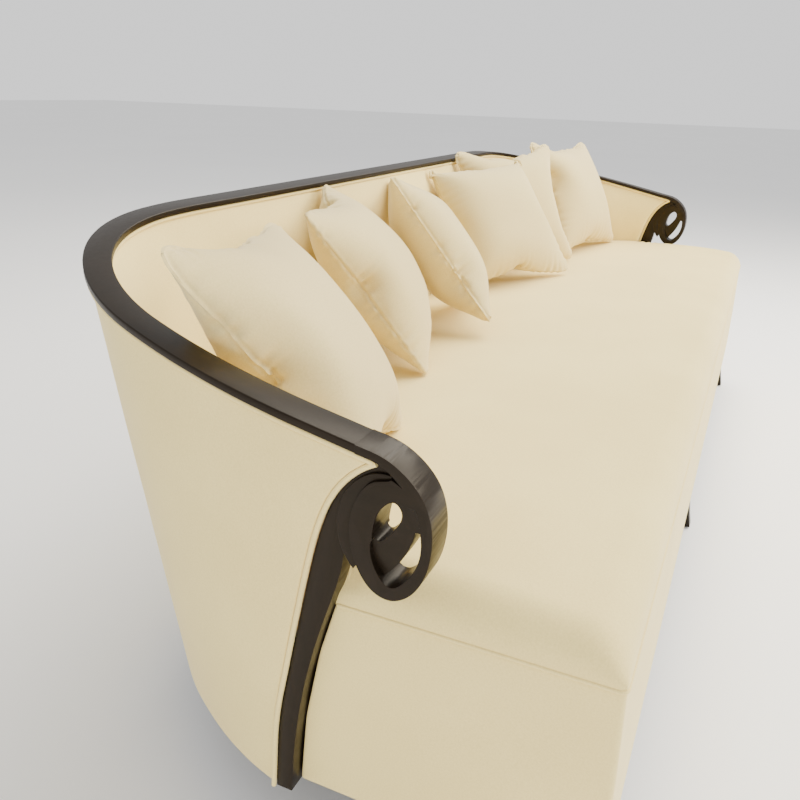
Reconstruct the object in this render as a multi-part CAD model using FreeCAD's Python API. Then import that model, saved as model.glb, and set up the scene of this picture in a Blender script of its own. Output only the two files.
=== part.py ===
import FreeCAD, Part
import math
import os

# A long upholstered sofa: one carved show-wood rail runs round the top of arms and back
# and curls at each end into an open scroll over a slim front post. Tight seat, six loose
# pillows, six short legs. Millimetres; +X is the sofa's left-to-right as seen from the
# front, the seat opens towards -Y, the floor is Z = 0.

# Plan of the top rail, given for the left side and mirrored
ARM_SPACING = 2376.0      # between the centre lines of the two arm rails
RAIL_START_Y = -214.4     # where the rail's path length is counted from
ARM_STRAIGHT = 125.0      # straight part of the arm
ARM_RADIUS = 865.0        # gentle curve of the arm
ARM_TURN = 17.0           # degrees turned by the gentle curve
CORNER_RADIUS = 356.0     # tight curve into the back
BACK_HALF = 650.0         # half length of the straight back pieces

# Top rail section
RAIL_THICK = 10.0
RAIL_WIDTH_SCROLL = 43.6
RAIL_WIDTH_WAIST = 37.0
RAIL_WIDTH_BACK = 63.0
WAIST_AT = 528.0          # path length to the narrowest place of the rail
WIDE_FROM = 990.0         # path length from which the rail keeps its back width
RAIL_ARRIS = 1.2

# Heights
BACK_HEIGHT = 792.0
ARM_SLOPE = 0.214
SLOPE_END = 520.0         # path length where the even slope ends
LEVEL_FROM = 915.0        # path length where the rail has become level
SKIRT_HEIGHT = 140.0      # lower edge of all upholstered panels
FRAME_BASE = 150.0        # underside of the wooden frame
SEAT_SEAM = 431.0         # top of the border panels
DECK_HEIGHT = 318.0       # top of the seat rails
SEAT_CROWN = 60.0         # rise of the seat above the seam
SEAT_FALL = 38.0          # how much lower the seat is at the back than at its crown
SEAT_ROLL = 46.0          # width of the rolled front and end edges

# Upholstered walls
BODY_TAPER = 80.0         # how far the outside leans in from rail to skirt at the back
TAPER_FROM = 125.0
TAPER_FULL = 550.0
REVEAL = 4.0              # the panels stand this far inside the rail's edges
PANEL_THICK = 5.0
FRAME_THICK = 18.0
PAD_THICK = 35.0          # inside padding at the seat
PAD_STRAIGHT_TOP = 500.0  # the padding is upright from its foot to here
PAD_FOOT_RISE = 14.0      # the padding's foot stands this far above the seat rails
WELT_RADIUS = 3.3
TOP_FRAME_DEPTH = 55.0
SILL_DEPTH = 50.0
FIT = 0.3                 # clearance between flat neighbours
LAYER_FIT = 0.5           # clearance between curved layers

# Front of the seat
SEAT_FRONT_Y = -441.0
FRONT_LEAN = 5.0          # the front face comes forward by this at the skirt
SEAT_END_CLEAR = 7.1      # seat ends stand this far inside the arm centre lines
BORDER_THICK = 8.0
BORDER_CORNER = 7.0
SEAT_WELT_RADIUS = 2.4
SEAT_SIDE_FIT = 1.2       # between the seat and the padding of arms and back
EAR_BACK_Y = -86.0        # the seat's front corners reach back to here beside the arms

# Scroll, cheek and post
SCROLL_JOINT_Y = -150.0
CHEEK_THICK = 35.0
POST_THICK = 28.0
POST_CLEAR = 1.2          # between the post's front edge and the seat
WHORL_RECESS = 10.0       # how deep the whorl's faces are sunk at the foot
WHORL_TOP = 597.5         # heights between which the whorl's faces are sunk
WHORL_FOOT = 497.0
WHORL_DEEP_AT = 507.0
CARVED_FOR = 792.0        # back height that the scroll, cheek and post are drawn for
POST_HEAD = 636.0         # top of the post at that back height

# Seat frame
RAIL_STOCK = 28.0
END_BOARD_THICK = 27.0
ARM_TIE_SPAN = 206.0      # from the arm's centre line in to the side rail
BRACE_X = 400.0
BRACE_HEIGHT = 100.0
END_BOARD_BACK_Y = -116.0
ARM_TIE_Y = (-20.0, 110.0)
BLOCK_LEG = 70.0
BLOCK_HEIGHT = 80.0
UPRIGHT_WIDTH = 40.0
UPRIGHT_S = 700.0         # path length of the upright in each back corner
BACK_UPRIGHTS = 5
STRAP_THICK = 1.6
STRAP_WIDTH = 60.0
STRAP_SHARES = (0.28, 0.72)
SHELF_THICK = 12.0
SPRING_WIRE = 3.5
SPRING_PITCH = 140.0
SPRING_COUNT = 13
SPRING_WIDTH = 52.0
SPRING_STEP = 40.0
CLIP_THICK = 1.2
CLIP_WIDTH = 22.0
CLIP_REACH = 14.0
CLIP_PLAY = 0.1
SPRING_LAP = 8.0          # how far the springs lie on the rails
DECK_CLOTH = 1.4
DUST_COVER = 2.7

# Legs
LEG_TOP = 45.0
LEG_TOE = 27.0
FRONT_LEG_IN = 66.0       # the outer front legs stand this far inside the arm centre lines
REAR_LEG_X = 700.0
FRONT_LEG_SPLAY = 24.0
REAR_LEG_SPLAY = 52.0
GLIDE_RADIUS = 10.0
GLIDE_THICK = 4.0
BOLT_RADIUS = 4.0
BOLT_LENGTH = 90.0
BOLT_IN_FRAME = 40.0      # how far the bolt reaches into the rail above the leg
BOLT_HOLE = 0.2

# Dowels in the rail joints
DOWEL_RADIUS = 3.0
DOWEL_LENGTH = 40.0
DOWEL_SPREAD = 18.0
DOWEL_FIT = 0.1

# Scatter pillows: name, centre x, y, z, turn, lean back, roll, in mm and degrees
PILLOW_SIZE = 370.0
PILLOW_THICK = 150.0
PILLOW_DRAW = 0.055       # how far each side draws in between its corners
LEFT_PILLOW_IN = 212.3    # the end pillows' centres, inside the arm centre lines
RIGHT_PILLOW_IN = 236.4
PILLOWS = [
    ("left_end_pillow", LEFT_PILLOW_IN - ARM_SPACING / 2.0, 49.3, 649.0, 15.7, 34.9, 4.4),
    ("left_second_pillow", -442.6, 208.4, 639.2, 21.6, 37.8, -3.8),
    ("left_inner_pillow", -130.2, 197.5, 641.0, 30.7, 36.6, 8.4),
    ("right_inner_pillow", 350.5, 195.6, 634.2, -32.0, 35.6, -4.3),
    ("right_second_pillow", 575.1, 217.6, 646.9, -35.1, 22.2, -3.0),
    ("right_end_pillow", ARM_SPACING / 2.0 - RIGHT_PILLOW_IN, 124.9, 655.0, -15.7, 26.4, 1.5),
]

ARM_X = ARM_SPACING / 2.0
SIDE_RAIL_X = ARM_X - ARM_TIE_SPAN
FRONT_LEG_X = ARM_X - FRONT_LEG_IN
PAD_FOOT = DECK_HEIGHT + PAD_FOOT_RISE
CARVED_RISE = BACK_HEIGHT - CARVED_FOR
TURN_1 = math.radians(ARM_TURN)
TURN_2 = math.radians(90.0 - ARM_TURN)
S_ARC_1 = ARM_STRAIGHT
S_ARC_2 = S_ARC_1 + ARM_RADIUS * TURN_1
S_BACK = S_ARC_2 + CORNER_RADIUS * TURN_2
STATION_STEP = 45.0


def vec(x, y, z):
    return FreeCAD.Vector(x, y, z)


def ease(t):
    """Smooth step from 0 to 1."""
    t = min(max(t, 0.0), 1.0)
    return t * t * (3.0 - 2.0 * t)


def path_at(s):
    """Point and heading of the left rail's centre line at path length s."""
    x = -ARM_X
    y = RAIL_START_Y
    if s <= S_ARC_1:
        return x, y + s, 0.0
    y = y + S_ARC_1
    a = min((s - S_ARC_1) / ARM_RADIUS, TURN_1)
    x = x + ARM_RADIUS * (1.0 - math.cos(a))
    y = y + ARM_RADIUS * math.sin(a)
    if s <= S_ARC_2:
        return x, y, a
    b = min(TURN_1 + (s - S_ARC_2) / CORNER_RADIUS, TURN_1 + TURN_2)
    x = x + CORNER_RADIUS * (math.cos(TURN_1) - math.cos(b))
    y = y + CORNER_RADIUS * (math.sin(b) - math.sin(TURN_1))
    if s <= S_BACK:
        return x, y, b
    return x + (s - S_BACK), y, math.pi / 2.0


BACK_X, BACK_Y, BACK_HEADING = path_at(S_BACK)
S_FLAT = S_BACK + (-BACK_HALF - BACK_X)
S_JOINT = SCROLL_JOINT_Y - RAIL_START_Y
S_SHELL = S_JOINT - 16.0
S_EAR = EAR_BACK_Y - RAIL_START_Y


def place(s, outward, z):
    """A point at path length s, so far outward of the centre line, at height z."""
    x, y, a = path_at(s)
    return vec(x - math.cos(a) * outward, y + math.sin(a) * outward, z)


def rail_top(s):
    """Height of the rail's top: an even slope, then a parabola that ends level."""
    slope_top = BACK_HEIGHT - 0.5 * ARM_SLOPE * (LEVEL_FROM - SLOPE_END)
    if s <= SLOPE_END:
        return slope_top - ARM_SLOPE * (SLOPE_END - s)
    left = max(LEVEL_FROM - s, 0.0)
    return BACK_HEIGHT - 0.5 * ARM_SLOPE * left * left / (LEVEL_FROM - SLOPE_END)


def rail_under(s):
    return rail_top(s) - RAIL_THICK


def half_width(s):
    """Half the rail's width: it narrows from the scroll to the waist, then widens."""
    if s <= WAIST_AT:
        t = ease((s - S_JOINT) / (WAIST_AT - S_JOINT))
        return 0.5 * (RAIL_WIDTH_SCROLL + (RAIL_WIDTH_WAIST - RAIL_WIDTH_SCROLL) * t)
    t = ease((s - WAIST_AT) / (WIDE_FROM - WAIST_AT))
    return 0.5 * (RAIL_WIDTH_WAIST + (RAIL_WIDTH_BACK - RAIL_WIDTH_WAIST) * t)


def lean(s, z):
    """How far the outside has moved inward at height z."""
    share = (rail_top(s) - z) / (rail_top(s) - SKIRT_HEIGHT)
    return BODY_TAPER * ease((s - TAPER_FROM) / (TAPER_FULL - TAPER_FROM)) * share


def panel_outer(s, z):
    return half_width(s) - REVEAL - lean(s, z)


def frame_outer(s, z):
    return panel_outer(s, z) - PANEL_THICK - LAYER_FIT


def frame_inner(s, z):
    return frame_outer(s, z) - FRAME_THICK


def pad_outer(s, z):
    return frame_inner(s, z) - LAYER_FIT


def pad_inner(s):
    """The upright inside face of the padding, next to the seat."""
    return pad_outer(s, PAD_FOOT) - PAD_THICK


def shell_top(s):
    """Top of panels and pads, just under the welts."""
    return rail_under(s) - 2.0 * WELT_RADIUS - 2.0 * FIT


def stations(s0, s1):
    """Path lengths of the sections from s0 to s1, shared by all the layers."""
    count = int(math.ceil((S_FLAT - S_SHELL) / STATION_STEP))
    step = (S_FLAT - S_SHELL) / count
    shared = [S_SHELL + i * step for i in range(count + 1)]
    inner = [s for s in shared if s0 + 0.25 * step < s < s1 - 0.25 * step]
    if not inner:
        inner = [0.5 * (s0 + s1)]
    return [s0] + inner + [s1]


def wire_of(points):
    return Part.makePolygon(points + [points[0]])


def loft(wires, ruled=False):
    return Part.makeLoft(wires, True, ruled)


def loft_along(s0, s1, section):
    return loft([section(s) for s in stations(s0, s1)])


def back_prism(section):
    """The straight back piece with the section that the corner piece ends in."""
    face = Part.Face(section(S_FLAT))
    return face.extrude(vec(2.0 * BACK_HALF, 0, 0))


def mirrored(shape):
    return shape.mirror(vec(0, 0, 0), vec(1, 0, 0))


def spline(points, start=None, end=None):
    """A smooth edge through the points, with given end directions where they matter."""
    curve = Part.BSplineCurve()
    if start is None:
        curve.interpolate(points)
    else:
        curve.interpolate(Points=points, InitialTangent=start, FinalTangent=end)
    return curve.toShape()


def line(a, b):
    return Part.makeLine(a, b)


def yz(points):
    return [vec(0, y, z) for y, z in points]


def carved(points):
    """Side-view points of scroll and cheek, raised with the height of the rail."""
    return yz([(y, z + CARVED_RISE) for y, z in points])


def post_height(z):
    """Height on the post: its head follows the rail, its foot stays at the skirt."""
    head = POST_HEAD - SKIRT_HEIGHT
    return SKIRT_HEIGHT + (z - SKIRT_HEIGHT) * (head + CARVED_RISE) / head


def slab(face, x, thick):
    """A side-view face at x = 0, thickened evenly about the plane at x."""
    moved = face.copy()
    moved.translate(vec(x - thick / 2.0, 0, 0))
    return moved.extrude(vec(thick, 0, 0))


def box(x0, x1, y0, y1, z0, z1):
    return Part.makeBox(x1 - x0, y1 - y0, z1 - z0, vec(x0, y0, z0))


def largest(shape):
    return max(shape.Solids, key=lambda solid: solid.Volume)


def centre_shift():
    """Move along Y that puts the origin midway between front toes and rail back."""
    x, toe_y, splay = leg_positions()[0][0]
    toe_front = toe_y + splay - LEG_TOE / 2.0
    rail_back = BACK_Y + half_width(S_FLAT)
    return -0.5 * (toe_front + rail_back)


def save(name, shape):
    solids = [solid.copy() for solid in shape.Solids]
    whole = solids[0] if len(solids) == 1 else Part.makeCompound(solids)
    whole.translate(vec(0, centre_shift(), 0))
    bad = [i for i, solid in enumerate(solids) if not solid.isValid()]
    print(name, "solids", len(solids), "volume", round(whole.Volume), "bad", bad)
    whole.exportStep("parts/" + name + ".step")


# Top rail

def rail_section(s):
    w = half_width(s)
    top = rail_top(s)
    low = top - RAIL_THICK
    a = RAIL_ARRIS
    outline = [(-w, low), (w, low), (w, top - a), (w - a, top), (a - w, top), (-w, top - a)]
    return wire_of([place(s, o, z) for o, z in outline])


def dowel_pair(s):
    """Two dowels side by side across the rail joint at path length s."""
    x, y, a = path_at(s)
    run = vec(math.sin(a), math.cos(a), 0.5 * (rail_top(s + 1.0) - rail_top(s - 1.0)))
    run.normalize()
    pegs = []
    for side in (-0.5, 0.5):
        middle = place(s, side * DOWEL_SPREAD, rail_top(s) - RAIL_THICK / 2.0)
        pegs.append((middle - run * (DOWEL_LENGTH / 2.0), run))
    return pegs


def pegs_solid(pegs, radius, length):
    return Part.makeCompound([Part.makeCylinder(radius, length, p, d) for p, d in pegs])


# Scroll: side view outlines in (y, z)

def scroll_outer_edge():
    """Top of the strip, front of the curl, its foot and the inner whorl's back."""
    start = vec(0, SCROLL_JOINT_Y, rail_top(S_JOINT))
    outline = [(-180.0, 645.3), (-203.8, 632.2), (-226.1, 607.7), (-236.2, 578.1),
               (-236.5, 544.9), (-227.4, 511.6), (-211.0, 489.2), (-192.5, 480.4),
               (-174.5, 484.6), (-156.6, 504.6), (-145.9, 535.0), (-145.5, 569.0),
               (-157.0, 599.8), (-173.5, 616.0), (-189.0, 620.6), (-203.3, 615.7)]
    return spline([start] + carved(outline), vec(0, -1.0, -ARM_SLOPE), vec(0, -1.0, -0.6))


def scroll_face():
    low = vec(0, SCROLL_JOINT_Y, rail_under(S_JOINT))
    under = spline(carved([(-203.3, 615.7), (-188.2, 629.4), (-170.0, 638.2)]) + [low],
                   vec(0, 0.72, 0.69), vec(0, 1.0, ARM_SLOPE))
    end = line(low, vec(0, SCROLL_JOINT_Y, rail_top(S_JOINT)))
    return Part.Face(Part.Wire([scroll_outer_edge(), under, end]))


def crescent_face():
    outer = spline(carved([(-224.4, 568.0), (-221.3, 529.5), (-208.8, 508.1), (-195.6, 497.0),
                       (-181.8, 503.1)]))
    inner = spline(carved([(-181.8, 503.1), (-194.6, 517.8), (-206.4, 536.7), (-217.9, 568.0)]))
    cap = line(*carved([(-217.9, 568.0), (-224.4, 568.0)]))
    return Part.Face(Part.Wire([outer, inner, cap]))


def eye_face():
    curve = Part.BSplineCurve()
    ring = [(-170.5, 553.0), (-173.2, 569.6), (-183.5, 590.5), (-196.0, 597.5), (-202.5, 590.0),
            (-197.3, 568.5), (-184.5, 551.6), (-175.5, 545.6)]
    curve.interpolate(Points=carved(ring), PeriodicFlag=True)
    return Part.Face(Part.Wire(curve.toShape()))


def whorl_recess():
    """Wedge taken off both faces of the whorl, deepening from its top to its foot."""
    strip_edge = spline(carved([(-217.4, WHORL_TOP), (-221.6, 585.1), (-224.4, 568.0)]))
    through_gap = [line(a, b) for a, b in pairs(carved([(-224.4, 568.0), (-219.5, 548.0),
                                                    (-207.0, 520.0), (-192.0, 504.0),
                                                    (-181.8, 503.1)]))]
    band_edge = spline(carved([(-181.8, 503.1), (-171.9, 521.4), (-168.6, 543.6)]))
    through_eye = [line(a, b) for a, b in pairs(carved([(-168.6, 543.6), (-174.5, 556.0),
                                                    (-186.0, 580.0), (-197.0, 594.0),
                                                    (-200.0, WHORL_TOP), (-217.4, WHORL_TOP)]))]
    face = Part.Face(Part.Wire([strip_edge] + through_gap + [band_edge] + through_eye))
    region = slab(face, -ARM_X, 2.0 * RAIL_WIDTH_SCROLL)
    half = RAIL_WIDTH_SCROLL / 2.0
    top = WHORL_TOP + CARVED_RISE
    foot = WHORL_FOOT + CARVED_RISE
    deep = WHORL_RECESS * (WHORL_TOP - WHORL_FOOT) / (WHORL_TOP - WHORL_DEEP_AT)
    wedges = []
    for side in (-1.0, 1.0):
        out = [vec(-ARM_X + side * half, -260.0, top),
               vec(-ARM_X + side * (half + 5.0), -260.0, top),
               vec(-ARM_X + side * (half + 5.0), -260.0, foot),
               vec(-ARM_X + side * (half - deep), -260.0, foot)]
        wedge = Part.Face(wire_of(out)).extrude(vec(0, 160.0, 0))
        wedges.append(region.common(wedge))
    return wedges


def pairs(points):
    return list(zip(points[:-1], points[1:]))


def make_scroll():
    solid = slab(scroll_face(), -ARM_X, RAIL_WIDTH_SCROLL)
    solid = solid.cut(slab(crescent_face(), -ARM_X, 2.0 * RAIL_WIDTH_SCROLL))
    solid = solid.cut(slab(eye_face(), -ARM_X, 2.0 * RAIL_WIDTH_SCROLL))
    for wedge in whorl_recess():
        solid = solid.cut(wedge)
    return largest(solid)


def make_cheek():
    """Thin leaf that backs the whorl and joins it to the post."""
    outer = spline(carved([(-147.0, 504.0), (-136.2, 518.9), (-128.0, 545.0), (-128.9, 572.4),
                       (-141.7, 600.9), (-163.0, 619.8), (-190.0, 624.0)]))
    closing = [line(a, b) for a, b in pairs(carved([(-190.0, 624.0), (-180.0, 560.0),
                                                (-147.0, 504.0)]))]
    solid = slab(Part.Face(Part.Wire([outer] + closing)), -ARM_X, CHEEK_THICK)
    return largest(solid.cut(slab(scroll_face(), -ARM_X, 2.0 * RAIL_WIDTH_SCROLL)))


POST_BACK = [(y, post_height(z)) for y, z in
             [(-184.5, POST_HEAD), (-155.6, 619.5), (-130.2, 592.5), (-110.2, 551.5),
              (-92.4, 486.6), (-62.6, 344.5), (-45.0, 250.0), (-37.0, SKIRT_HEIGHT)]]
POST_FRONT = [(y, post_height(z)) for y, z in
              [(-59.0, SKIRT_HEIGHT), (-69.0, 250.0), (-89.2, 354.4), (-114.4, 440.4),
               (-132.7, 506.7), (-134.0, 517.0)]]
WELT_ROOM = 2.0 * WELT_RADIUS + 2.0 * FIT


def make_post(cheek):
    """Slim sabre-shaped front post, its head tucked between strip and whorl."""
    back = spline(yz(POST_BACK))
    foot = line(vec(0, POST_BACK[-1][0], SKIRT_HEIGHT), vec(0, POST_FRONT[0][0], SKIRT_HEIGHT))
    front = spline(yz(POST_FRONT))
    inside = [line(a, b) for a, b in pairs(yz([POST_FRONT[-1], (-170.0, post_height(560.0)),
                                               (-203.0, post_height(606.0)), POST_BACK[0]]))]
    solid = slab(Part.Face(Part.Wire([back, foot, front] + inside)), -ARM_X, POST_THICK)
    solid = solid.cut(slab(scroll_face(), -ARM_X, 2.0 * RAIL_WIDTH_SCROLL))
    solid = solid.cut(cheek)
    return largest(solid)


def post_back_moved(gap):
    """The post's back edge moved square to itself, backward by gap."""
    moved = []
    for i, (y, z) in enumerate(POST_BACK):
        before = POST_BACK[max(i - 1, 0)]
        after = POST_BACK[min(i + 1, len(POST_BACK) - 1)]
        run = vec(0, after[0] - before[0], after[1] - before[1])
        run.normalize()
        moved.append((y - run.z * gap, z + run.y * gap))
    moved[-1] = (moved[-1][0], SKIRT_HEIGHT)
    return moved


def ahead_of_arm(gap):
    """Everything in front of the post's back edge, moved back by gap, on the left arm."""
    edge = post_back_moved(gap)
    top = (edge[0][0], edge[0][1] + 60.0)
    low = (edge[-1][0], 0.0)
    curve = spline(yz(edge))
    lines = [line(a, b) for a, b in pairs(yz([edge[-1], low, (-300.0, 0.0), (-300.0, top[1]),
                                              top, edge[0]]))]
    return slab(Part.Face(Part.Wire([curve] + lines)), -ARM_X, 200.0)


def post_room(gap):
    """The post's own space with a gap round it, for cutting what meets it."""
    front = [(y - gap, z) for y, z in POST_FRONT[:-1]]
    above = [(front[-1][0], BACK_HEIGHT), (0.0, BACK_HEIGHT)]
    outline = [(0.0, POST_FRONT[0][1])] + front + above
    return slab(Part.Face(wire_of(yz(outline))), -ARM_X, POST_THICK + 2.0 * gap)


def behind_post(gap):
    """Everything behind the post's back edge, on the left arm."""
    edge = post_back_moved(-gap)
    curve = spline(yz(edge))
    lines = [line(a, b) for a, b in pairs(yz([edge[-1], (edge[-1][0], 0.0), (100.0, 0.0),
                                              (100.0, edge[0][1]), edge[0]]))]
    return slab(Part.Face(Part.Wire([curve] + lines)), -ARM_X, 100.0)


# Upholstered walls

def outside_section(s):
    top = shell_top(s)
    low = SKIRT_HEIGHT
    a = panel_outer(s, top)
    b = panel_outer(s, low)
    t = PANEL_THICK
    return wire_of([place(s, a, top), place(s, b, low), place(s, b - t, low),
                    place(s, a - t, top)])


def inside_section(s):
    """Padding: slanted back, upright foot, and a soft swelling up to the rail."""
    top = shell_top(s)
    face = pad_inner(s)
    edge = REVEAL - half_width(s)
    a = place(s, pad_outer(s, top), top)
    b = place(s, pad_outer(s, PAD_FOOT), PAD_FOOT)
    c = place(s, face, PAD_FOOT)
    d = place(s, face, PAD_STRAIGHT_TOP)
    e = place(s, edge, top)
    swell = 0.13 * (edge - face) + 5.0
    middle = place(s, (face + edge) / 2.0 - swell, (PAD_STRAIGHT_TOP + top) / 2.0)
    return Part.Wire([line(a, b), line(b, c), line(c, d), Part.Arc(d, middle, e).toShape(),
                      line(e, a)])


def welt_section(side):
    def section(s):
        o = side * (half_width(s) - REVEAL - 0.5)
        centre = place(s, o, rail_under(s) - WELT_RADIUS - FIT)
        x, y, a = path_at(s)
        ring = Part.makeCircle(WELT_RADIUS, centre, vec(math.sin(a), math.cos(a), 0))
        return Part.Wire([ring])
    return section


def post_welt(x, low):
    """Cord down the arm's front edge, behind the post's back edge, ending at height low."""
    curve = Part.BSplineCurve()
    curve.interpolate(yz(POST_BACK[1:]))
    level = Part.Line(vec(0, -400.0, low), vec(0, 400.0, low))
    last = curve.parameter(curve.intersectCC(level)[0].toShape().Point)
    first = curve.FirstParameter
    rings = []
    count = 9
    for i in range(count):
        u = first + (last - first) * i / (count - 1.0)
        p = curve.value(u)
        run = curve.tangent(u)[0]
        off = WELT_RADIUS + FIT
        centre = vec(x, p.y - run.z * off, p.z + run.y * off)
        rings.append(Part.Wire([Part.makeCircle(WELT_RADIUS, centre, run)]))
    return loft(rings)


def top_frame_section(s):
    top = rail_under(s) - FIT
    low = top - TOP_FRAME_DEPTH
    return wire_of([place(s, frame_outer(s, top), top), place(s, frame_outer(s, low), low),
                    place(s, frame_inner(s, low), low), place(s, frame_inner(s, top), top)])


def sill_section(s):
    low = FRAME_BASE
    top = FRAME_BASE + SILL_DEPTH
    return wire_of([place(s, frame_outer(s, top), top), place(s, frame_outer(s, low), low),
                    place(s, frame_inner(s, low), low), place(s, frame_inner(s, top), top)])


def upright_section(s):
    low = FRAME_BASE + SILL_DEPTH
    top = rail_under(s) - 2.0 * FIT - TOP_FRAME_DEPTH
    return wire_of([place(s, frame_outer(s, top), top), place(s, frame_outer(s, low), low),
                    place(s, frame_inner(s, low), low), place(s, frame_inner(s, top), top)])


def outer_zone_section(s):
    """Everything from the frame's inside face outward, for trimming what meets it."""
    low = FRAME_BASE - 5.0
    top = PAD_FOOT
    far = frame_outer(s, low) + 150.0
    return wire_of([place(s, far, top), place(s, far, low),
                    place(s, frame_inner(s, low) - FIT, low),
                    place(s, frame_inner(s, top) - FIT, top)])


def strap_section(s):
    low = FRAME_BASE + SILL_DEPTH
    top = rail_under(s) - 2.0 * FIT - TOP_FRAME_DEPTH
    t = STRAP_THICK
    return wire_of([place(s, frame_inner(s, top) + t, top), place(s, frame_inner(s, low) + t, low),
                    place(s, frame_inner(s, low), low), place(s, frame_inner(s, top), top)])


# Seat

def seat_plan(margin, end_x, front_y, z, corner):
    """Plan outline: straight front and ends, then along the foot of the padding."""
    side = [place(s, pad_inner(s) - margin, z) for s in stations(S_EAR, S_FLAT)]
    ear_y = side[0].y
    flip = [vec(-p.x, p.y, z) for p in reversed(side)]
    if end_x is None:
        end_x = -side[0].x
    edges = [spline(side, vec(0, 1.0, 0), vec(1.0, 0, 0)), line(side[-1], flip[0]),
             spline(flip, vec(1.0, 0, 0), vec(0, -1.0, 0))]
    right = [flip[-1], vec(end_x, ear_y, z), vec(end_x, front_y + corner, z)]
    left = [vec(-end_x, front_y + corner, z), vec(-end_x, ear_y, z), side[0]]
    for a, b in pairs(right) + pairs(left):
        if a.distanceToPoint(b) > 0.01:
            edges.append(line(a, b))
    edges.append(line(vec(end_x - corner, front_y, z), vec(corner - end_x, front_y, z)))
    if corner > 0.0:
        k = corner * (1.0 - math.sqrt(0.5))
        edges.append(Part.Arc(vec(end_x, front_y + corner, z), vec(end_x - k, front_y + k, z),
                              vec(end_x - corner, front_y, z)).toShape())
        edges.append(Part.Arc(vec(corner - end_x, front_y, z), vec(k - end_x, front_y + k, z),
                              vec(-end_x, front_y + corner, z)).toShape())
    return Part.Face(Part.Wire(Part.__sortEdges__(edges)))


SEAT_END_X = ARM_X - SEAT_END_CLEAR
BACK_PAD_Y = BACK_Y + pad_inner(S_FLAT)


def seat_profile(x, share):
    """Side view of the crowned seat at x, its rise scaled by share."""
    low = SEAT_SEAM + FIT
    rise = SEAT_CROWN - FIT
    back_y = BACK_PAD_Y + 20.0
    front_y = SEAT_FRONT_Y

    def at(y, h):
        return vec(x, y, low + 3.0 + (h - 3.0) * share)

    roll = SEAT_ROLL
    a = at(front_y, 3.0)
    b = at(front_y + 0.25 * roll, 0.66 * (rise - 9.0))
    c = at(front_y + roll, rise - 9.0)
    d = at(front_y + 4.3 * roll, rise)
    e = at(back_y, rise - SEAT_FALL)
    edges = [line(vec(x, front_y, low), a), Part.Arc(a, b, c).toShape(),
             Part.Arc(c, d, e).toShape(), line(e, vec(x, back_y, low)),
             line(vec(x, back_y, low), vec(x, front_y, low))]
    return Part.Wire(edges)


def make_seat_pad():
    """Crowned tight seat: a constant crown, rolled down at both ends."""
    full_x = SEAT_END_X - SEAT_ROLL
    middle = Part.Face(seat_profile(-full_x, 1.0)).extrude(vec(2.0 * full_x, 0, 0))
    roll = []
    for t in (0.0, 0.18, 0.5, 1.0):
        share = math.sqrt(max(1.0 - (1.0 - t) ** 2, 0.0)) * 0.9 + 0.1
        roll.append(seat_profile(-SEAT_END_X + t * SEAT_ROLL, share))
    end = loft(roll)
    solid = middle.fuse(end).fuse(mirrored(end))
    plan = seat_plan(SEAT_SIDE_FIT, SEAT_END_X, SEAT_FRONT_Y, SEAT_SEAM - 20.0, BORDER_CORNER)
    solid = solid.common(plan.extrude(vec(0, 0, 150.0)))
    cut = behind_post(WELT_ROOM)
    ear_x = -ARM_X - pad_inner(S_EAR) + SEAT_SIDE_FIT
    ear = box(-ARM_X - 5.0, ear_x, -300.0, 0.0, 300.0, 600.0)
    ear_cut = cut.common(ear)
    room = post_room(POST_CLEAR)
    solid = solid.cut(ear_cut).cut(mirrored(ear_cut)).cut(room).cut(mirrored(room))
    return largest(solid.removeSplitter())


def seat_welt(radius):
    """Cord along the seat's seam, round the front corners to both posts."""
    z = SEAT_SEAM + FIT / 2.0
    x = SEAT_END_X - 0.4
    y = SEAT_FRONT_Y + 0.4
    r = BORDER_CORNER
    back = POST_FRONT[3][0]
    k = r * (1.0 - math.sqrt(0.5))
    edges = [line(vec(-x, back, z), vec(-x, y + r, z)),
             Part.Arc(vec(-x, y + r, z), vec(k - x, y + k, z), vec(r - x, y, z)).toShape(),
             line(vec(r - x, y, z), vec(x - r, y, z)),
             Part.Arc(vec(x - r, y, z), vec(x - k, y + k, z), vec(x, y + r, z)).toShape(),
             line(vec(x, y + r, z), vec(x, back, z))]
    ring = Part.Wire([Part.makeCircle(radius, vec(-x, back, z), vec(0, -1, 0))])
    return Part.Wire(edges).makePipeShell([ring], True, False)


def make_border():
    y0 = SEAT_FRONT_Y
    y1 = SEAT_FRONT_Y - FRONT_LEAN
    t = BORDER_THICK
    x = SEAT_END_X
    outline = yz([(y0, SEAT_SEAM), (y1, SKIRT_HEIGHT), (y1 + t, SKIRT_HEIGHT), (y0 + t, SEAT_SEAM)])
    solid = Part.Face(wire_of(outline))
    solid.translate(vec(-x, 0, 0))
    solid = solid.extrude(vec(2.0 * x, 0, 0))
    upright = [e for e in solid.Edges
               if abs(abs(e.CenterOfMass.x) - x) < 0.01
               and e.CenterOfMass.y < (y0 + y1) / 2.0 + 1.0 and e.Length > 100.0]
    return solid.makeFillet(BORDER_CORNER, upright)


def make_end_panel():
    y0 = SEAT_FRONT_Y + BORDER_THICK + FIT
    outline = yz([(y0, SEAT_SEAM), (y0 - FRONT_LEAN, SKIRT_HEIGHT), (0.0, SKIRT_HEIGHT),
                  (0.0, SEAT_SEAM)])
    solid = Part.Face(wire_of(outline))
    solid.translate(vec(-SEAT_END_X, 0, 0))
    solid = solid.extrude(vec(BORDER_THICK, 0, 0))
    return largest(solid.cut(post_room(POST_CLEAR)).cut(behind_post(FIT)))


# Seat frame

BORDER_BACK_Y = SEAT_FRONT_Y + BORDER_THICK + FIT
END_BOARD_X = SEAT_END_X - BORDER_THICK - FIT
INNER_END_X = END_BOARD_X - END_BOARD_THICK
BACK_RAIL_Y = BACK_Y + frame_inner(S_FLAT, FRAME_BASE) - RAIL_STOCK


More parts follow.
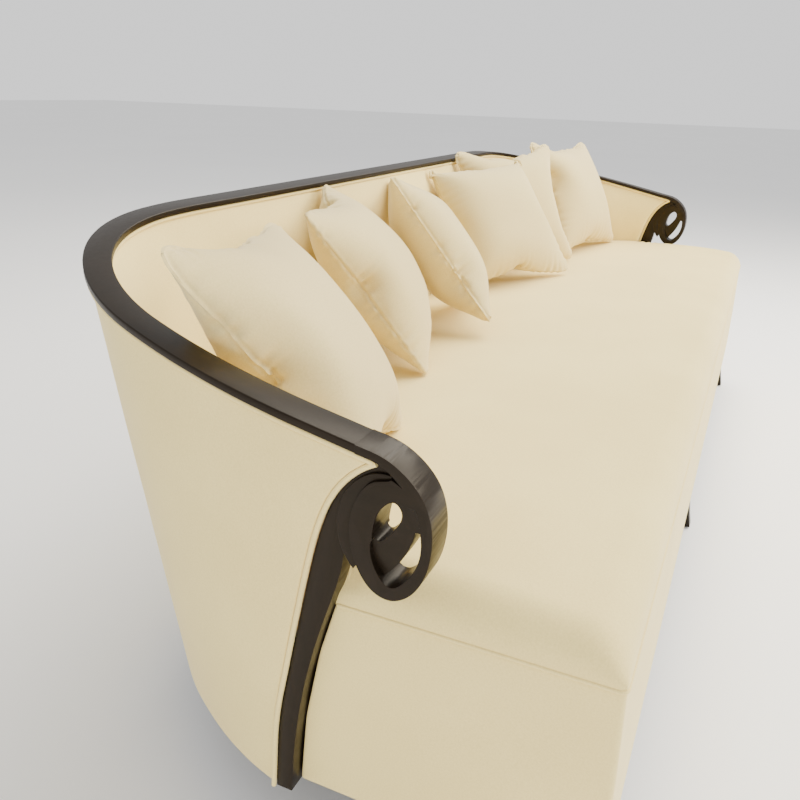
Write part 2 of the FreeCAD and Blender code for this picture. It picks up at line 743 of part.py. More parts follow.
def make_front_rail():
    solid = box(-INNER_END_X, INNER_END_X, BORDER_BACK_Y, BORDER_BACK_Y + RAIL_STOCK,
                FRAME_BASE, DECK_HEIGHT)
    front, rear = leg_positions()
    return solid.cut(bolt_holes(front))


def make_end_board():
    return box(-END_BOARD_X, -INNER_END_X, BORDER_BACK_Y, END_BOARD_BACK_Y,
               FRAME_BASE, SEAT_SEAM - FIT)


def make_back_rail(zone):
    """Rear rail of the seat, its ends shaped to the curve of the sills."""
    solid = box(-ARM_X, ARM_X, BACK_RAIL_Y, BACK_RAIL_Y + RAIL_STOCK - FIT,
                FRAME_BASE, DECK_HEIGHT)
    solid = largest(solid.cut(zone).cut(mirrored(zone)))
    front, rear = leg_positions()
    return solid.cut(bolt_holes(rear))


def make_side_rail(zone, back_rail):
    solid = box(-SIDE_RAIL_X - RAIL_STOCK, -SIDE_RAIL_X, BORDER_BACK_Y + RAIL_STOCK, 400.0,
                FRAME_BASE, DECK_HEIGHT)
    trimmed = solid.cut(zone).cut(back_rail)
    return min([p for p in trimmed.Solids if p.Volume > 1e5], key=lambda p: p.BoundBox.YMin)


def make_arm_ties(zone):
    """Cross members from each side rail out to the arm's sill."""
    ties = []
    for y in ARM_TIE_Y:
        bar = box(-ARM_X - 20.0, -SIDE_RAIL_X - RAIL_STOCK, y, y + RAIL_STOCK,
                  FRAME_BASE, DECK_HEIGHT - SHELF_THICK)
        ties.append(max(bar.cut(zone).Solids, key=lambda p: p.BoundBox.XMax))
    return ties


def make_shelf(uprights):
    """Board that carries the foam between side rail and arm."""
    z = DECK_HEIGHT - SHELF_THICK
    x_in = -SIDE_RAIL_X - RAIL_STOCK
    run = stations(S_ARC_1 + 70.0, S_ARC_2 + 150.0)
    edge = [place(s, frame_inner(s, z) - LAYER_FIT, z) for s in run]
    front = vec(-INNER_END_X, BORDER_BACK_Y + RAIL_STOCK, z)
    corner = vec(-INNER_END_X, edge[0].y, z)
    edges = [line(front, corner), line(corner, edge[0]), spline(edge)]
    last = edge[-1]
    edges += [line(last, vec(x_in, last.y, z)), line(vec(x_in, last.y, z), vec(x_in, front.y, z)),
              line(vec(x_in, front.y, z), front)]
    solid = Part.Face(Part.Wire(edges)).extrude(vec(0, 0, SHELF_THICK))
    return largest(solid.cut(uprights))


def make_braces():
    y0 = BORDER_BACK_Y + RAIL_STOCK
    return [box(x - RAIL_STOCK / 2.0, x + RAIL_STOCK / 2.0, y0, BACK_RAIL_Y,
                FRAME_BASE, FRAME_BASE + BRACE_HEIGHT) for x in (-BRACE_X, BRACE_X)]


def make_corner_blocks():
    """Three-cornered glue blocks in the seat frame's corners and beside the middle legs."""
    leg = BLOCK_LEG
    blocks = []
    y0 = BORDER_BACK_Y + RAIL_STOCK
    spots = [(-SIDE_RAIL_X, y0, 1, 1), (SIDE_RAIL_X, y0, -1, 1),
             (-BRACE_X + RAIL_STOCK / 2.0, y0, 1, 1), (BRACE_X - RAIL_STOCK / 2.0, y0, -1, 1),
             (-BRACE_X + RAIL_STOCK / 2.0, BACK_RAIL_Y, 1, -1),
             (BRACE_X - RAIL_STOCK / 2.0, BACK_RAIL_Y, -1, -1)]
    for x, y, dx, dy in spots:
        corner = wire_of([vec(x, y, FRAME_BASE), vec(x + dx * leg, y, FRAME_BASE),
                          vec(x, y + dy * leg, FRAME_BASE)])
        blocks.append(Part.Face(corner).extrude(vec(0, 0, BLOCK_HEIGHT)))
    return blocks


def spring_positions():
    first = -SPRING_PITCH * (SPRING_COUNT - 1) / 2.0
    return [first + i * SPRING_PITCH for i in range(SPRING_COUNT)]


SPRING_LOW = DECK_HEIGHT + CLIP_THICK
SPRING_Y0 = BORDER_BACK_Y + RAIL_STOCK - SPRING_LAP
SPRING_Y1 = BACK_RAIL_Y + SPRING_LAP


def make_spring(x):
    """Zigzag seat spring: wire that runs across, steps back and runs across again."""
    half = (SPRING_WIDTH - SPRING_WIRE) / 2.0
    room = SPRING_Y1 - SPRING_Y0 - SPRING_WIRE
    rows = int(room // SPRING_STEP)
    path = []
    for i in range(rows + 1):
        y = SPRING_Y0 + SPRING_WIRE / 2.0 + i * room / rows
        side = half if i % 2 else -half
        path += [vec(x + side, y, SPRING_LOW), vec(x - side, y, SPRING_LOW)]
    return band(path, SPRING_WIRE / 2.0).extrude(vec(0, 0, SPRING_WIRE))


def band(path, half):
    """Flat strip of even width along a path of straight runs, with mitred corners."""
    near = []
    far = []
    for i, p in enumerate(path):
        before = path[max(i - 1, 0)]
        after = path[min(i + 1, len(path) - 1)]
        a = (p - before) if i > 0 else (after - p)
        b = (after - p) if i < len(path) - 1 else a
        a.normalize()
        b.normalize()
        side = vec(-a.y - b.y, a.x + b.x, 0)
        side = side * (2.0 * half / (side.x ** 2 + side.y ** 2))
        near.append(p + side)
        far.append(p - side)
    return Part.Face(wire_of(near + far[::-1]))


def make_clips():
    """Folded plates that hold the spring ends down on the front and back rails."""
    clips = []
    t = CLIP_THICK
    inside = SPRING_WIRE + 2.0 * CLIP_PLAY
    for x in spring_positions():
        for y, way in ((SPRING_Y0, -1.0), (SPRING_Y1, 1.0)):
            z = DECK_HEIGHT
            back = y + way * (CLIP_PLAY + t)
            tip = y - way * CLIP_REACH
            low = z + t - CLIP_PLAY
            high = low + inside
            outline = [(back, z), (tip, z), (tip, low), (back - way * t, low),
                       (back - way * t, high), (tip, high), (tip, high + t), (back, high + t)]
            face = Part.Face(wire_of(yz(outline)))
            clips.append(slab(face, x, CLIP_WIDTH))
    return clips


CLOTH_LOW = DECK_HEIGHT + 2.0 * CLIP_THICK + SPRING_WIRE + 2.0 * CLIP_PLAY
FOAM_LOW = CLOTH_LOW + DECK_CLOTH + FIT


def make_deck_cloth():
    plan = seat_plan(3.0, None, BORDER_BACK_Y, CLOTH_LOW, 0.0)
    return plan.extrude(vec(0, 0, DECK_CLOTH))


def make_foam():
    plan = seat_plan(2.0, None, BORDER_BACK_Y, FOAM_LOW, 0.0)
    return plan.extrude(vec(0, 0, SEAT_SEAM - FOAM_LOW))


# Legs

def leg_positions():
    """x, y and splay of each leg at the frame's underside."""
    front_y = BORDER_BACK_Y - FRONT_LEAN + LEG_TOP / 2.0 + FIT + 0.4
    rear_y = BACK_RAIL_Y + RAIL_STOCK / 2.0
    front = [(x, front_y, -FRONT_LEG_SPLAY) for x in (-FRONT_LEG_X, 0.0, FRONT_LEG_X)]
    rear = [(x, rear_y, REAR_LEG_SPLAY) for x in (-REAR_LEG_X, 0.0, REAR_LEG_X)]
    return front, rear


def make_leg(x, y, splay):
    """Square tapered leg that sweeps outward to its toe."""
    wires = []
    for share in (0.0, 0.35, 0.7, 1.0):
        z = FRAME_BASE - share * (FRAME_BASE - GLIDE_THICK)
        h = 0.5 * (LEG_TOP + (LEG_TOE - LEG_TOP) * share)
        cy = y + splay * share ** 1.6
        wires.append(wire_of([vec(x - h, cy - h, z), vec(x + h, cy - h, z),
                              vec(x + h, cy + h, z), vec(x - h, cy + h, z)]))
    leg = loft(wires)
    return leg.cut(bolt_holes([(x, y, splay)]))


def bolt_foot(x, y):
    return vec(x, y, FRAME_BASE + BOLT_IN_FRAME - BOLT_LENGTH)


def bolt_holes(legs):
    """Blind holes for the leg bolts, in the legs and in the rails above them."""
    radius = BOLT_RADIUS + BOLT_HOLE
    return Part.makeCompound([Part.makeCylinder(radius, BOLT_LENGTH + FIT, bolt_foot(x, y))
                              for x, y, k in legs])


def make_bolts(legs):
    return [Part.makeCylinder(BOLT_RADIUS, BOLT_LENGTH, bolt_foot(x, y)) for x, y, k in legs]


def make_glides(legs):
    return [Part.makeCylinder(GLIDE_RADIUS, GLIDE_THICK, vec(x, y + k, 0)) for x, y, k in legs]


def make_dust_cover(legs):
    """Thin cloth tacked under the frame, cut out round the legs."""
    z = FRAME_BASE - DUST_COVER
    side = [place(s, frame_outer(s, z) - FIT, z) for s in stations(S_ARC_1 + 60.0, S_FLAT)]
    flip = [vec(-p.x, p.y, z) for p in reversed(side)]
    x = END_BOARD_X
    y = BORDER_BACK_Y - FRONT_LEAN + FIT
    edges = [spline(side), line(side[-1], flip[0]), spline(flip)]
    outline = [flip[-1], vec(x, side[0].y, z), vec(x, y, z), vec(-x, y, z),
               vec(-x, side[0].y, z), side[0]]
    edges += [line(a, b) for a, b in pairs(outline)]
    cover = Part.Face(Part.Wire(edges)).extrude(vec(0, 0, DUST_COVER - FIT))
    h = LEG_TOP / 2.0 + 0.5
    for lx, ly, k in legs:
        cover = cover.cut(box(lx - h, lx + h, ly - h, ly + h, z - 5.0, FRAME_BASE))
    return cover


# Pillows

def make_pillow(x, y, z, turn, back, roll):
    """Knife-edged square: full in the middle, sides drawn in between pointed corners."""
    half = PILLOW_SIZE / 2.0
    wires = []
    for v in (-0.97, -0.86, -0.6, -0.3, 0.0, 0.3, 0.6, 0.86, 0.97):
        w = half * (1.0 - PILLOW_DRAW * (1.0 - v * v))
        h = half * v
        t = 0.5 * PILLOW_THICK * (1.0 - v * v) ** 0.75
        ends = 1.2
        wires.append(Part.Wire([
            line(vec(-w, -ends, h), vec(-w, ends, h)),
            Part.Arc(vec(-w, ends, h), vec(0, t, h), vec(w, ends, h)).toShape(),
            line(vec(w, ends, h), vec(w, -ends, h)),
            Part.Arc(vec(w, -ends, h), vec(0, -t, h), vec(-w, -ends, h)).toShape()]))
    solid = loft(wires)
    solid.rotate(vec(0, 0, 0), vec(0, 1, 0), roll)
    solid.rotate(vec(0, 0, 0), vec(1, 0, 0), -back)
    solid.rotate(vec(0, 0, 0), vec(0, 0, 1), turn)
    solid.translate(vec(x, y, z))
    return solid


def build_rail():
    """Show wood: scrolls, cheeks, posts, the five rails and their dowels."""
    scroll = make_scroll()
    cheek = make_cheek()
    post = make_post(cheek)
    arm = loft_along(S_JOINT, S_ARC_2, rail_section)
    corner = loft_along(S_ARC_2, S_FLAT, rail_section)
    back = back_prism(rail_section)
    pegs = []
    for s in (S_JOINT, S_ARC_2, S_FLAT):
        pegs += dowel_pair(s)
    holes = pegs_solid(pegs, DOWEL_RADIUS + DOWEL_FIT, DOWEL_LENGTH)
    scroll = largest(scroll.cut(holes))
    arm = arm.cut(holes)
    corner = corner.cut(holes)
    back = back.cut(holes).cut(mirrored(holes))
    for side, flip in (("left", lambda q: q), ("right", mirrored)):
        save(side + "_scroll", flip(scroll))
        save(side + "_scroll_cheek", flip(cheek))
        save(side + "_front_post", flip(post))
        save(side + "_arm_rail", flip(arm))
        save(side + "_corner_rail", flip(corner))
    save("back_rail", back)
    dowels = pegs_solid(pegs, DOWEL_RADIUS, DOWEL_LENGTH)
    save("rail_dowels", Part.makeCompound([dowels, mirrored(dowels)]))


def build_walls():
    """Outside panels, inside padding and the cords round their edges."""
    front = ahead_of_arm(WELT_ROOM)
    outside = largest(loft_along(S_SHELL, S_FLAT, outside_section).cut(front))
    inside = largest(loft_along(S_SHELL, S_FLAT, inside_section).cut(front))
    save("left_outside_panel", outside)
    save("right_outside_panel", mirrored(outside))
    save("outside_back_panel", back_prism(outside_section))
    save("left_inside_pad", inside)
    save("right_inside_pad", mirrored(inside))
    save("inside_back_pad", back_prism(inside_section))
    for name, side in (("outside_welt", 1.0), ("inside_welt", -1.0)):
        cord = loft_along(S_SHELL, S_FLAT, welt_section(side))
        save(name, Part.makeCompound([cord, mirrored(cord), back_prism(welt_section(side))]))
    reach = half_width(S_JOINT) - REVEAL - 2.0
    cords = [post_welt(-ARM_X - reach, SKIRT_HEIGHT), post_welt(-ARM_X + reach, SEAT_SEAM + 5.0)]
    cords += [mirrored(cord) for cord in cords]
    save("post_welts", Part.makeCompound(cords))


def build_frame():
    """Hidden hardwood frame of arms, back and seat, with springs and cloths."""
    front = ahead_of_arm(FIT)
    top = largest(loft_along(S_JOINT, S_FLAT, top_frame_section).cut(front))
    sill = largest(loft_along(S_ARC_1, S_FLAT, sill_section).cut(front))
    back_sill = back_prism(sill_section)
    posts = []
    for s0 in (S_ARC_1 - 22.0, S_ARC_2 - UPRIGHT_WIDTH / 2.0, UPRIGHT_S):
        post = loft_along(s0, s0 + UPRIGHT_WIDTH, upright_section)
        posts.append(largest(post.cut(front)))
    uprights = Part.makeCompound(posts)
    back_face = Part.Face(upright_section(S_FLAT))
    back_posts = []
    straps = []
    strap_face = Part.Face(strap_section(S_FLAT))
    pitch = (2.0 * BACK_HALF - UPRIGHT_WIDTH) / (BACK_UPRIGHTS - 1.0)
    for i in range(BACK_UPRIGHTS):
        post = back_face.extrude(vec(UPRIGHT_WIDTH, 0, 0))
        post.translate(vec(i * pitch, 0, 0))
        back_posts.append(post)
        if i < BACK_UPRIGHTS - 1:
            for k in STRAP_SHARES:
                strap = strap_face.extrude(vec(STRAP_WIDTH, 0, 0))
                strap.translate(vec((i + k) * pitch + (UPRIGHT_WIDTH - STRAP_WIDTH) / 2.0, 0, 0))
                straps.append(strap)
    save("left_frame_top_rail", top)
    save("right_frame_top_rail", mirrored(top))
    save("back_frame_top_rail", back_prism(top_frame_section))
    save("left_frame_sill", sill)
    save("right_frame_sill", mirrored(sill))
    save("back_frame_sill", back_sill)
    save("left_frame_uprights", uprights)
    save("right_frame_uprights", mirrored(uprights))
    save("back_frame_uprights", Part.makeCompound(back_posts))
    save("back_webbing", Part.makeCompound(straps))

    zone = loft_along(S_JOINT, S_FLAT, outer_zone_section)
    back_rail = make_back_rail(zone)
    side_rail = make_side_rail(zone, back_rail)
    ties = make_arm_ties(zone)
    shelf = make_shelf(uprights)
    save("front_seat_rail", make_front_rail())
    save("back_seat_rail", back_rail)
    save("seat_side_rails", Part.makeCompound([side_rail, mirrored(side_rail)]))
    save("seat_end_boards", Part.makeCompound([make_end_board(), mirrored(make_end_board())]))
    save("arm_ties", Part.makeCompound(ties + [mirrored(t) for t in ties]))
    save("seat_shelves", Part.makeCompound([shelf, mirrored(shelf)]))
    save("cross_braces", Part.makeCompound(make_braces()))
    save("corner_blocks", Part.makeCompound(make_corner_blocks()))
    save("seat_springs", Part.makeCompound([make_spring(x) for x in spring_positions()]))
    save("spring_clips", Part.makeCompound(make_clips()))
    save("deck_cloth", make_deck_cloth())


def build_seat():
    groove = seat_welt(SEAT_WELT_RADIUS + 0.15)
    end = make_end_panel()
    save("seat_pad", largest(make_seat_pad().cut(groove)))
    save("seat_foam", make_foam())
    save("front_border_panel", largest(make_border().cut(groove)))
    save("left_end_panel", largest(end.cut(groove)))
    save("right_end_panel", mirrored(largest(end.cut(groove))))
    save("seat_welt", seat_welt(SEAT_WELT_RADIUS))


def build_legs():
    front, rear = leg_positions()
    save("front_legs", Part.makeCompound([make_leg(*leg) for leg in front]))
    save("rear_legs", Part.makeCompound([make_leg(*leg) for leg in rear]))
    save("leg_bolts", Part.makeCompound(make_bolts(front + rear)))
    save("leg_glides", Part.makeCompound(make_glides(front + rear)))
    save("dust_cover", make_dust_cover(front + rear))


def build_pillows():
    for name, x, y, z, turn, back, roll in PILLOWS:
        save(name, make_pillow(x, y, z, turn, back, roll))


os.makedirs("parts", exist_ok=True)
build_rail()
build_walls()
build_frame()
build_seat()
build_legs()
build_pillows()
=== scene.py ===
"""Looks of a long scroll-arm sofa: show-wood rail, cream upholstery, six loose pillows.

Metres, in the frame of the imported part: +X is the sofa's left-to-right as seen from the
front, the seat opens towards -Y and the floor is Z = 0.
"""
from contextlib import contextmanager

import bmesh
import bpy
import numpy as np
from mathutils import Matrix, Vector


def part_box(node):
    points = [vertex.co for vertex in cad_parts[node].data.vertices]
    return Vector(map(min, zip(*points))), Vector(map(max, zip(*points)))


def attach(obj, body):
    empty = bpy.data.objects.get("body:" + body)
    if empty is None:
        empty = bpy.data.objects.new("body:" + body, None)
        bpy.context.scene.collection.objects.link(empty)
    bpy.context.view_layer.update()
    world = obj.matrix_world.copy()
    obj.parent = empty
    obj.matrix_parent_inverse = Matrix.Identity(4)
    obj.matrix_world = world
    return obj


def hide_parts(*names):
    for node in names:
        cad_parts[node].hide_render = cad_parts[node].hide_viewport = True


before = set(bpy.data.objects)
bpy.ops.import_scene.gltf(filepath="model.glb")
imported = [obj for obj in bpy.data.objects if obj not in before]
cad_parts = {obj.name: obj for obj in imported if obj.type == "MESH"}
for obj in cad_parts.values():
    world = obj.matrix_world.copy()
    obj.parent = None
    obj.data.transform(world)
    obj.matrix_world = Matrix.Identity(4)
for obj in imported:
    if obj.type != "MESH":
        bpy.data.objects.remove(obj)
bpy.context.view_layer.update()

bl_info = {
    "name": "Scroll-arm sofa",
    "version": (1, 0, 0),
    "blender": (4, 5, 0),
    "location": "3D View > Sidebar > Sofa",
    "description": "Dresses the packed sofa with wood, upholstery and pillows",
    "category": "Object",
}

MIRROR = np.array([-1.0, 1.0, 1.0])

# Plan of the top rail's centre line on the left side, as the part has it
ARM_X = 1.188
RAIL_START_Y = -0.2144
ARM_STRAIGHT = 0.125
ARM_RADIUS = 0.865
ARM_TURN = np.radians(17.0)
CORNER_RADIUS = 0.356
CORNER_TURN = np.radians(73.0)
BACK_HALF = 0.650
S_ARC = ARM_STRAIGHT + ARM_RADIUS * ARM_TURN
S_BACK = S_ARC + CORNER_RADIUS * CORNER_TURN

# Rail width, thickness and heights
RAIL_THICK = 0.010
HALF_SCROLL = 0.0218
HALF_WAIST = 0.0185
HALF_BACK = 0.0315
S_JOINT = 0.0644
WAIST_AT = 0.528
WIDE_FROM = 0.990
BACK_HEIGHT = 0.792
ARM_SLOPE = 0.214
SLOPE_END = 0.520
LEVEL_FROM = 0.915
SKIRT = 0.140
SEAM = 0.431

# Upholstered walls
BODY_TAPER = 0.080
TAPER_FROM = 0.125
TAPER_FULL = 0.550
REVEAL = 0.004
WALL_CORE = 0.024
PAD_THICK = 0.035
PAD_FOOT = 0.332
PAD_STRAIGHT_TOP = 0.500
WELT = 0.0033
GAP = 0.0003

# Front of the seat
SEAT_FRONT_Y = -0.441
FRONT_LEAN = 0.005
SEAT_END_X = 1.1809
SEAT_CROWN = 0.060
SEAT_LIP = 0.003
SEAT_ROLL = 0.046
SEAT_HIGH_AT = 4.3 * SEAT_ROLL
SEAT_FRONT_FALL = 0.009
SEAT_FRONT_RUN = 3.3 * SEAT_ROLL
SEAT_BACK_FALL = 0.038
SEAT_BACK_RUN = 0.53
BORDER_CORNER = 0.007
SEAT_WELT = 0.0024
EAR_BACK_Y = -0.086
SEAT_SIDE_FIT = 0.0012

# Edges of the front post in side view, (y, z): the back from head to foot, the front upward
POST_BACK = np.array([(-0.1845, 0.6360), (-0.1556, 0.6195), (-0.1302, 0.5925), (-0.1102, 0.5515),
                      (-0.0924, 0.4866), (-0.0626, 0.3445), (-0.0450, 0.2500), (-0.0370, 0.1400)])
POST_FRONT = np.array([(-0.0590, 0.1400), (-0.0690, 0.2500), (-0.0892, 0.3544),
                       (-0.1144, 0.4404), (-0.1327, 0.5067)])
POST_HALF = 0.0140
POST_CLEAR = 0.0004
WELT_ROOM = 2.0 * WELT + 2.0 * GAP

# Where the seat passes each post, in plan
NOTCH_X = ARM_X - POST_HALF - POST_CLEAR
NOTCH_Y = -0.1240
EAR_WELT_Y = -0.0955
EAR_X = 1.1675
EAR_Y = -0.0875
NOTCH_DIP = 0.30
NOTCH_REACH = 0.020

# Cords: where they start along the rail, and the sides and twist of each
CORD_START = 0.0450
CORD_SIDES = 12
CORD_PITCH = 0.004

# How finely the covers are divided
WALL_COLUMNS = 118
OUTSIDE_ROWS = 40
INSIDE_ROWS = 38
INSIDE_LOW = 0.380
BORDER_ROWS = 26
END_POINTS = 60
CORNER_POINTS = 24
FRONT_POINTS = 140
SEAT_POINTS = 1100
SEAT_RINGS = 46

# Turn above which an edge is shaded sharp, and above which a carved edge is rounded over
SHARP_TURN = np.radians(42.0)
CARVED_TURN = np.radians(28.0)

# Pillows: cut, filling by cloth simulation, and the gathers along the seam
PILLOW_SIZE = 0.370
PILLOW_THICK = 0.150
HALF_CUT = 1.08 * PILLOW_SIZE / 2.0
PRESSURE = 6.0
CLOTH_FRAMES = 34
CLOTH_CELLS = 56
CALM_PASSES = 40
CALM_DEPTH = 7.0
GATHER_HEIGHT = 0.0030
GATHER_PITCH = 0.023
GATHER_REACH = 0.024
SEAM_GROOVE = 0.0024
SEAM_LIP = 0.0007
PILLOW_CELLS = 150

# Name, centre x, y, z in metres, turn, lean back and roll in degrees
PILLOWS = [
    ("left_end_pillow", -0.9757, 0.0493, 0.6490, 15.7, 34.9, 4.4),
    ("left_second_pillow", -0.4426, 0.2084, 0.6392, 21.6, 37.8, -3.8),
    ("left_inner_pillow", -0.1302, 0.1975, 0.6410, 30.7, 36.6, 8.4),
    ("right_inner_pillow", 0.3505, 0.1956, 0.6342, -32.0, 35.6, -4.3),
    ("right_second_pillow", 0.5751, 0.2176, 0.6469, -35.1, 22.2, -3.0),
    ("right_end_pillow", 0.9516, 0.1249, 0.6550, -15.7, 26.4, 1.5),
]


def smooth(t):
    """Smooth step: 3t^2 - 2t^3 on 0..1, held at the ends."""
    t = np.clip(t, 0.0, 1.0)
    return t * t * (3.0 - 2.0 * t)


def path_at(s):
    """Centre line of the left rail at length s: straight, arc of ARM_RADIUS, arc of
    CORNER_RADIUS, straight. Gives x, y and the heading, which is 0 along +Y."""
    s = np.asarray(s, float)
    a = np.clip((s - ARM_STRAIGHT) / ARM_RADIUS, 0.0, ARM_TURN)
    b = np.clip((s - S_ARC) / CORNER_RADIUS, 0.0, CORNER_TURN)
    x = -ARM_X + ARM_RADIUS * (1.0 - np.cos(a))
    x = x + CORNER_RADIUS * (np.cos(ARM_TURN) - np.cos(ARM_TURN + b))
    x = x + np.maximum(s - S_BACK, 0.0)
    y = RAIL_START_Y + np.minimum(s, ARM_STRAIGHT) + ARM_RADIUS * np.sin(a)
    y = y + CORNER_RADIUS * (np.sin(ARM_TURN + b) - np.sin(ARM_TURN))
    return x, y, a + b


BACK_X, BACK_Y = (float(v) for v in path_at(S_BACK)[:2])
S_MIDDLE = S_BACK - BACK_X
S_FLAT = S_MIDDLE - BACK_HALF
SHIFT_Y = float(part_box("back_rail")[1].y) - BACK_Y - HALF_BACK


def place(s, outward, z):
    """Points at path length s, so far outward of the centre line, at height z."""
    x, y, a = path_at(s)
    return np.stack(np.broadcast_arrays(x - np.cos(a) * outward,
                                        y + np.sin(a) * outward + SHIFT_Y, z), -1)


def rail_top(s):
    """Height of the rail's top: an even slope, then a parabola that ends level."""
    bend = LEVEL_FROM - SLOPE_END
    left = np.maximum(LEVEL_FROM - np.asarray(s, float), 0.0)
    curved = BACK_HEIGHT - 0.5 * ARM_SLOPE * left * left / bend
    straight = BACK_HEIGHT - 0.5 * ARM_SLOPE * bend - ARM_SLOPE * (SLOPE_END - s)
    return np.where(s <= SLOPE_END, straight, curved)


def rail_under(s):
    return rail_top(s) - RAIL_THICK


def half_width(s):
    """Half the rail's width: eased from the scroll to the waist, then to the back."""
    near = smooth((s - S_JOINT) / (WAIST_AT - S_JOINT))
    far = smooth((s - WAIST_AT) / (WIDE_FROM - WAIST_AT))
    return np.where(s <= WAIST_AT, HALF_SCROLL + (HALF_WAIST - HALF_SCROLL) * near,
                    HALF_WAIST + (HALF_BACK - HALF_WAIST) * far)


def lean(s, z):
    """Inward slope of the outside: its share of the drop below the rail times the taper."""
    share = (rail_top(s) - z) / (rail_top(s) - SKIRT)
    return BODY_TAPER * smooth((s - TAPER_FROM) / (TAPER_FULL - TAPER_FROM)) * share


def outer_face(s, z):
    return half_width(s) - REVEAL - lean(s, z)


def pad_outer(s, z):
    return outer_face(s, z) - WALL_CORE


def pad_inner(s):
    return pad_outer(s, PAD_FOOT) - PAD_THICK


def shell_top(s):
    return rail_under(s) - 2.0 * WELT - 2.0 * GAP


def smooth_at(points, u):
    """Catmull-Rom curve through the points, at parameters u from 0 to their last index:
    p = 1/2 (2b + (c - a) t + (2a - 5b + 4c - d) t^2 + (3b - a - 3c + d) t^3)."""
    p = np.concatenate([[2 * points[0] - points[1]], points, [2 * points[-1] - points[-2]]])
    i = np.minimum(u.astype(int), len(points) - 2)
    t = (u - i).reshape([-1] + [1] * (points.ndim - 1))
    a, b, c, d = p[i], p[i + 1], p[i + 2], p[i + 3]
    return 0.5 * (2 * b + (c - a) * t + (2 * a - 5 * b + 4 * c - d) * t ** 2
                  + (3 * b - a - 3 * c + d) * t ** 3)


def smooth_line(points, count):
    return smooth_at(points, np.linspace(0.0, len(points) - 1.0, count))


def unit(vectors, least=1e-12):
    return vectors / np.maximum(np.linalg.norm(vectors, axis=-1)[..., None], least)


def lengths(line):
    """How far along a line each of its points lies."""
    return np.concatenate([[0.0], np.cumsum(np.linalg.norm(np.diff(line, axis=0), axis=1))])


POST_LINE = smooth_line(POST_BACK, 120)


def behind_post(gap, line=POST_LINE):
    """The post's back edge moved backward by gap, square to itself: p + gap n."""
    run = unit(np.gradient(line, axis=0))
    return line + gap * run[:, ::-1] * np.array([-1.0, 1.0])


def post_front(z):
    """Where the seat and border meet the post's front edge at height z."""
    return np.interp(z, POST_FRONT[:, 1], POST_FRONT[:, 0]) - POST_CLEAR


def both_sides(points):
    """The left half, from its front edge to the middle, followed by its mirror image."""
    return np.concatenate([points, points[::-1][1:] * MIRROR])


def folds(x, y, z, scale, seed):
    """A sum of five sine waves in seeded directions, about -1 to 1, for soft unevenness."""
    rng = np.random.default_rng(seed)
    total = np.zeros(np.broadcast(x, y, z).shape)
    for i in range(5):
        d = rng.normal(size=3)
        d = d / np.linalg.norm(d) / (scale * rng.uniform(0.6, 1.5))
        total = total + np.sin(6.2832 * (x * d[0] + y * d[1] + z * d[2]) + rng.uniform(0, 6.28))
    return total / 2.6


# Meshes

def add_object(name, data):
    made = bpy.data.objects.new(name, data)
    bpy.context.scene.collection.objects.link(made)
    return made


def assign(thing, **values):
    """Sets several properties of a thing, in the order given."""
    for key, value in values.items():
        setattr(thing, key, value)
    return thing


def modify(piece, kind, **values):
    return assign(piece.modifiers.new(kind.title(), kind), **values)


@contextmanager
def opened(mesh):
    """The mesh as a bmesh to work on, written back afterwards."""
    bm = bmesh.new()
    bm.from_mesh(mesh)
    yield bm
    bm.to_mesh(mesh)
    bm.free()


def vectors_of(items, key):
    """One vector property of all points or faces of a mesh."""
    values = np.zeros(len(items) * 3)
    items.foreach_get(key, values)
    return values.reshape(-1, 3)


def add_mesh(name, verts, faces):
    """New piece with its place in its mesh, normals outward, shaded smooth between its
    sharp edges."""
    mesh = bpy.data.meshes.new(name)
    mesh.from_pydata(verts.reshape(-1, 3).tolist(), [], faces)
    mesh.validate()
    with opened(mesh) as bm:
        bmesh.ops.remove_doubles(bm, verts=bm.verts, dist=1e-6)
        bmesh.ops.recalc_face_normals(bm, faces=bm.faces)
    mesh.shade_smooth()
    mesh.set_sharp_from_angle(angle=SHARP_TURN)
    piece = add_object(name, mesh)
    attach(piece, "root")
    return piece


def grid_faces(nu, nv, closed=False):
    """Quads of nu rows of nv points, each row joined into a loop if closed."""
    a, b = np.meshgrid(np.arange(nu - 1), np.arange(nv if closed else nv - 1), indexing="ij")
    b2 = (b + 1) % nv
    quads = np.stack([a * nv + b, (a + 1) * nv + b, (a + 1) * nv + b2, a * nv + b2], -1)
    return quads.reshape(-1, 4)


def carried(points):
    """Faces of a closed solid of sections (nu, nv, 3), each a closed loop, with flat ends."""
    nu, nv = points.shape[:2]
    faces = grid_faces(nu, nv, closed=True).tolist()
    faces.append(list(range(nv))[::-1])
    faces.append([(nu - 1) * nv + j for j in range(nv)])
    return faces


def tube(line, radius, ribs):
    """Round cord along a line of points: centre + radius (n cos v + b sin v), where n and b
    are square to the line; ribs swell it along a slant, radius (1 + ribs sin(...))."""
    run = unit(np.gradient(line, axis=0))
    upright = (np.abs(run[:, 0]) < 1e-3).all()
    n = unit(np.cross(run, (1.0, 0.0, 0.0) if upright else (0.0, 0.0, 1.0)))
    b = np.cross(run, n)
    v = np.linspace(0.0, 2 * np.pi, CORD_SIDES, endpoint=False)
    swell = radius * (1.0 + ribs * np.sin(2 * np.pi * lengths(line)[:, None] / CORD_PITCH + v))
    ring = n[:, None] * np.cos(v)[:, None] + b[:, None] * np.sin(v)[:, None]
    return line[:, None] + ring * swell[..., None]


def join(name, shapes):
    """One piece from several closed solids, each a grid of sections."""
    verts, faces = [], []
    for points in shapes:
        start = sum(len(part) for part in verts)
        faces += [[i + start for i in face] for face in carried(points)]
        verts.append(points.reshape(-1, 3))
    return add_mesh(name, np.concatenate(verts), faces)


# Materials

def new_material(name):
    made = bpy.data.materials.new(name)
    made.use_nodes = True
    return made, made.node_tree, made.node_tree.nodes["Principled BSDF"]


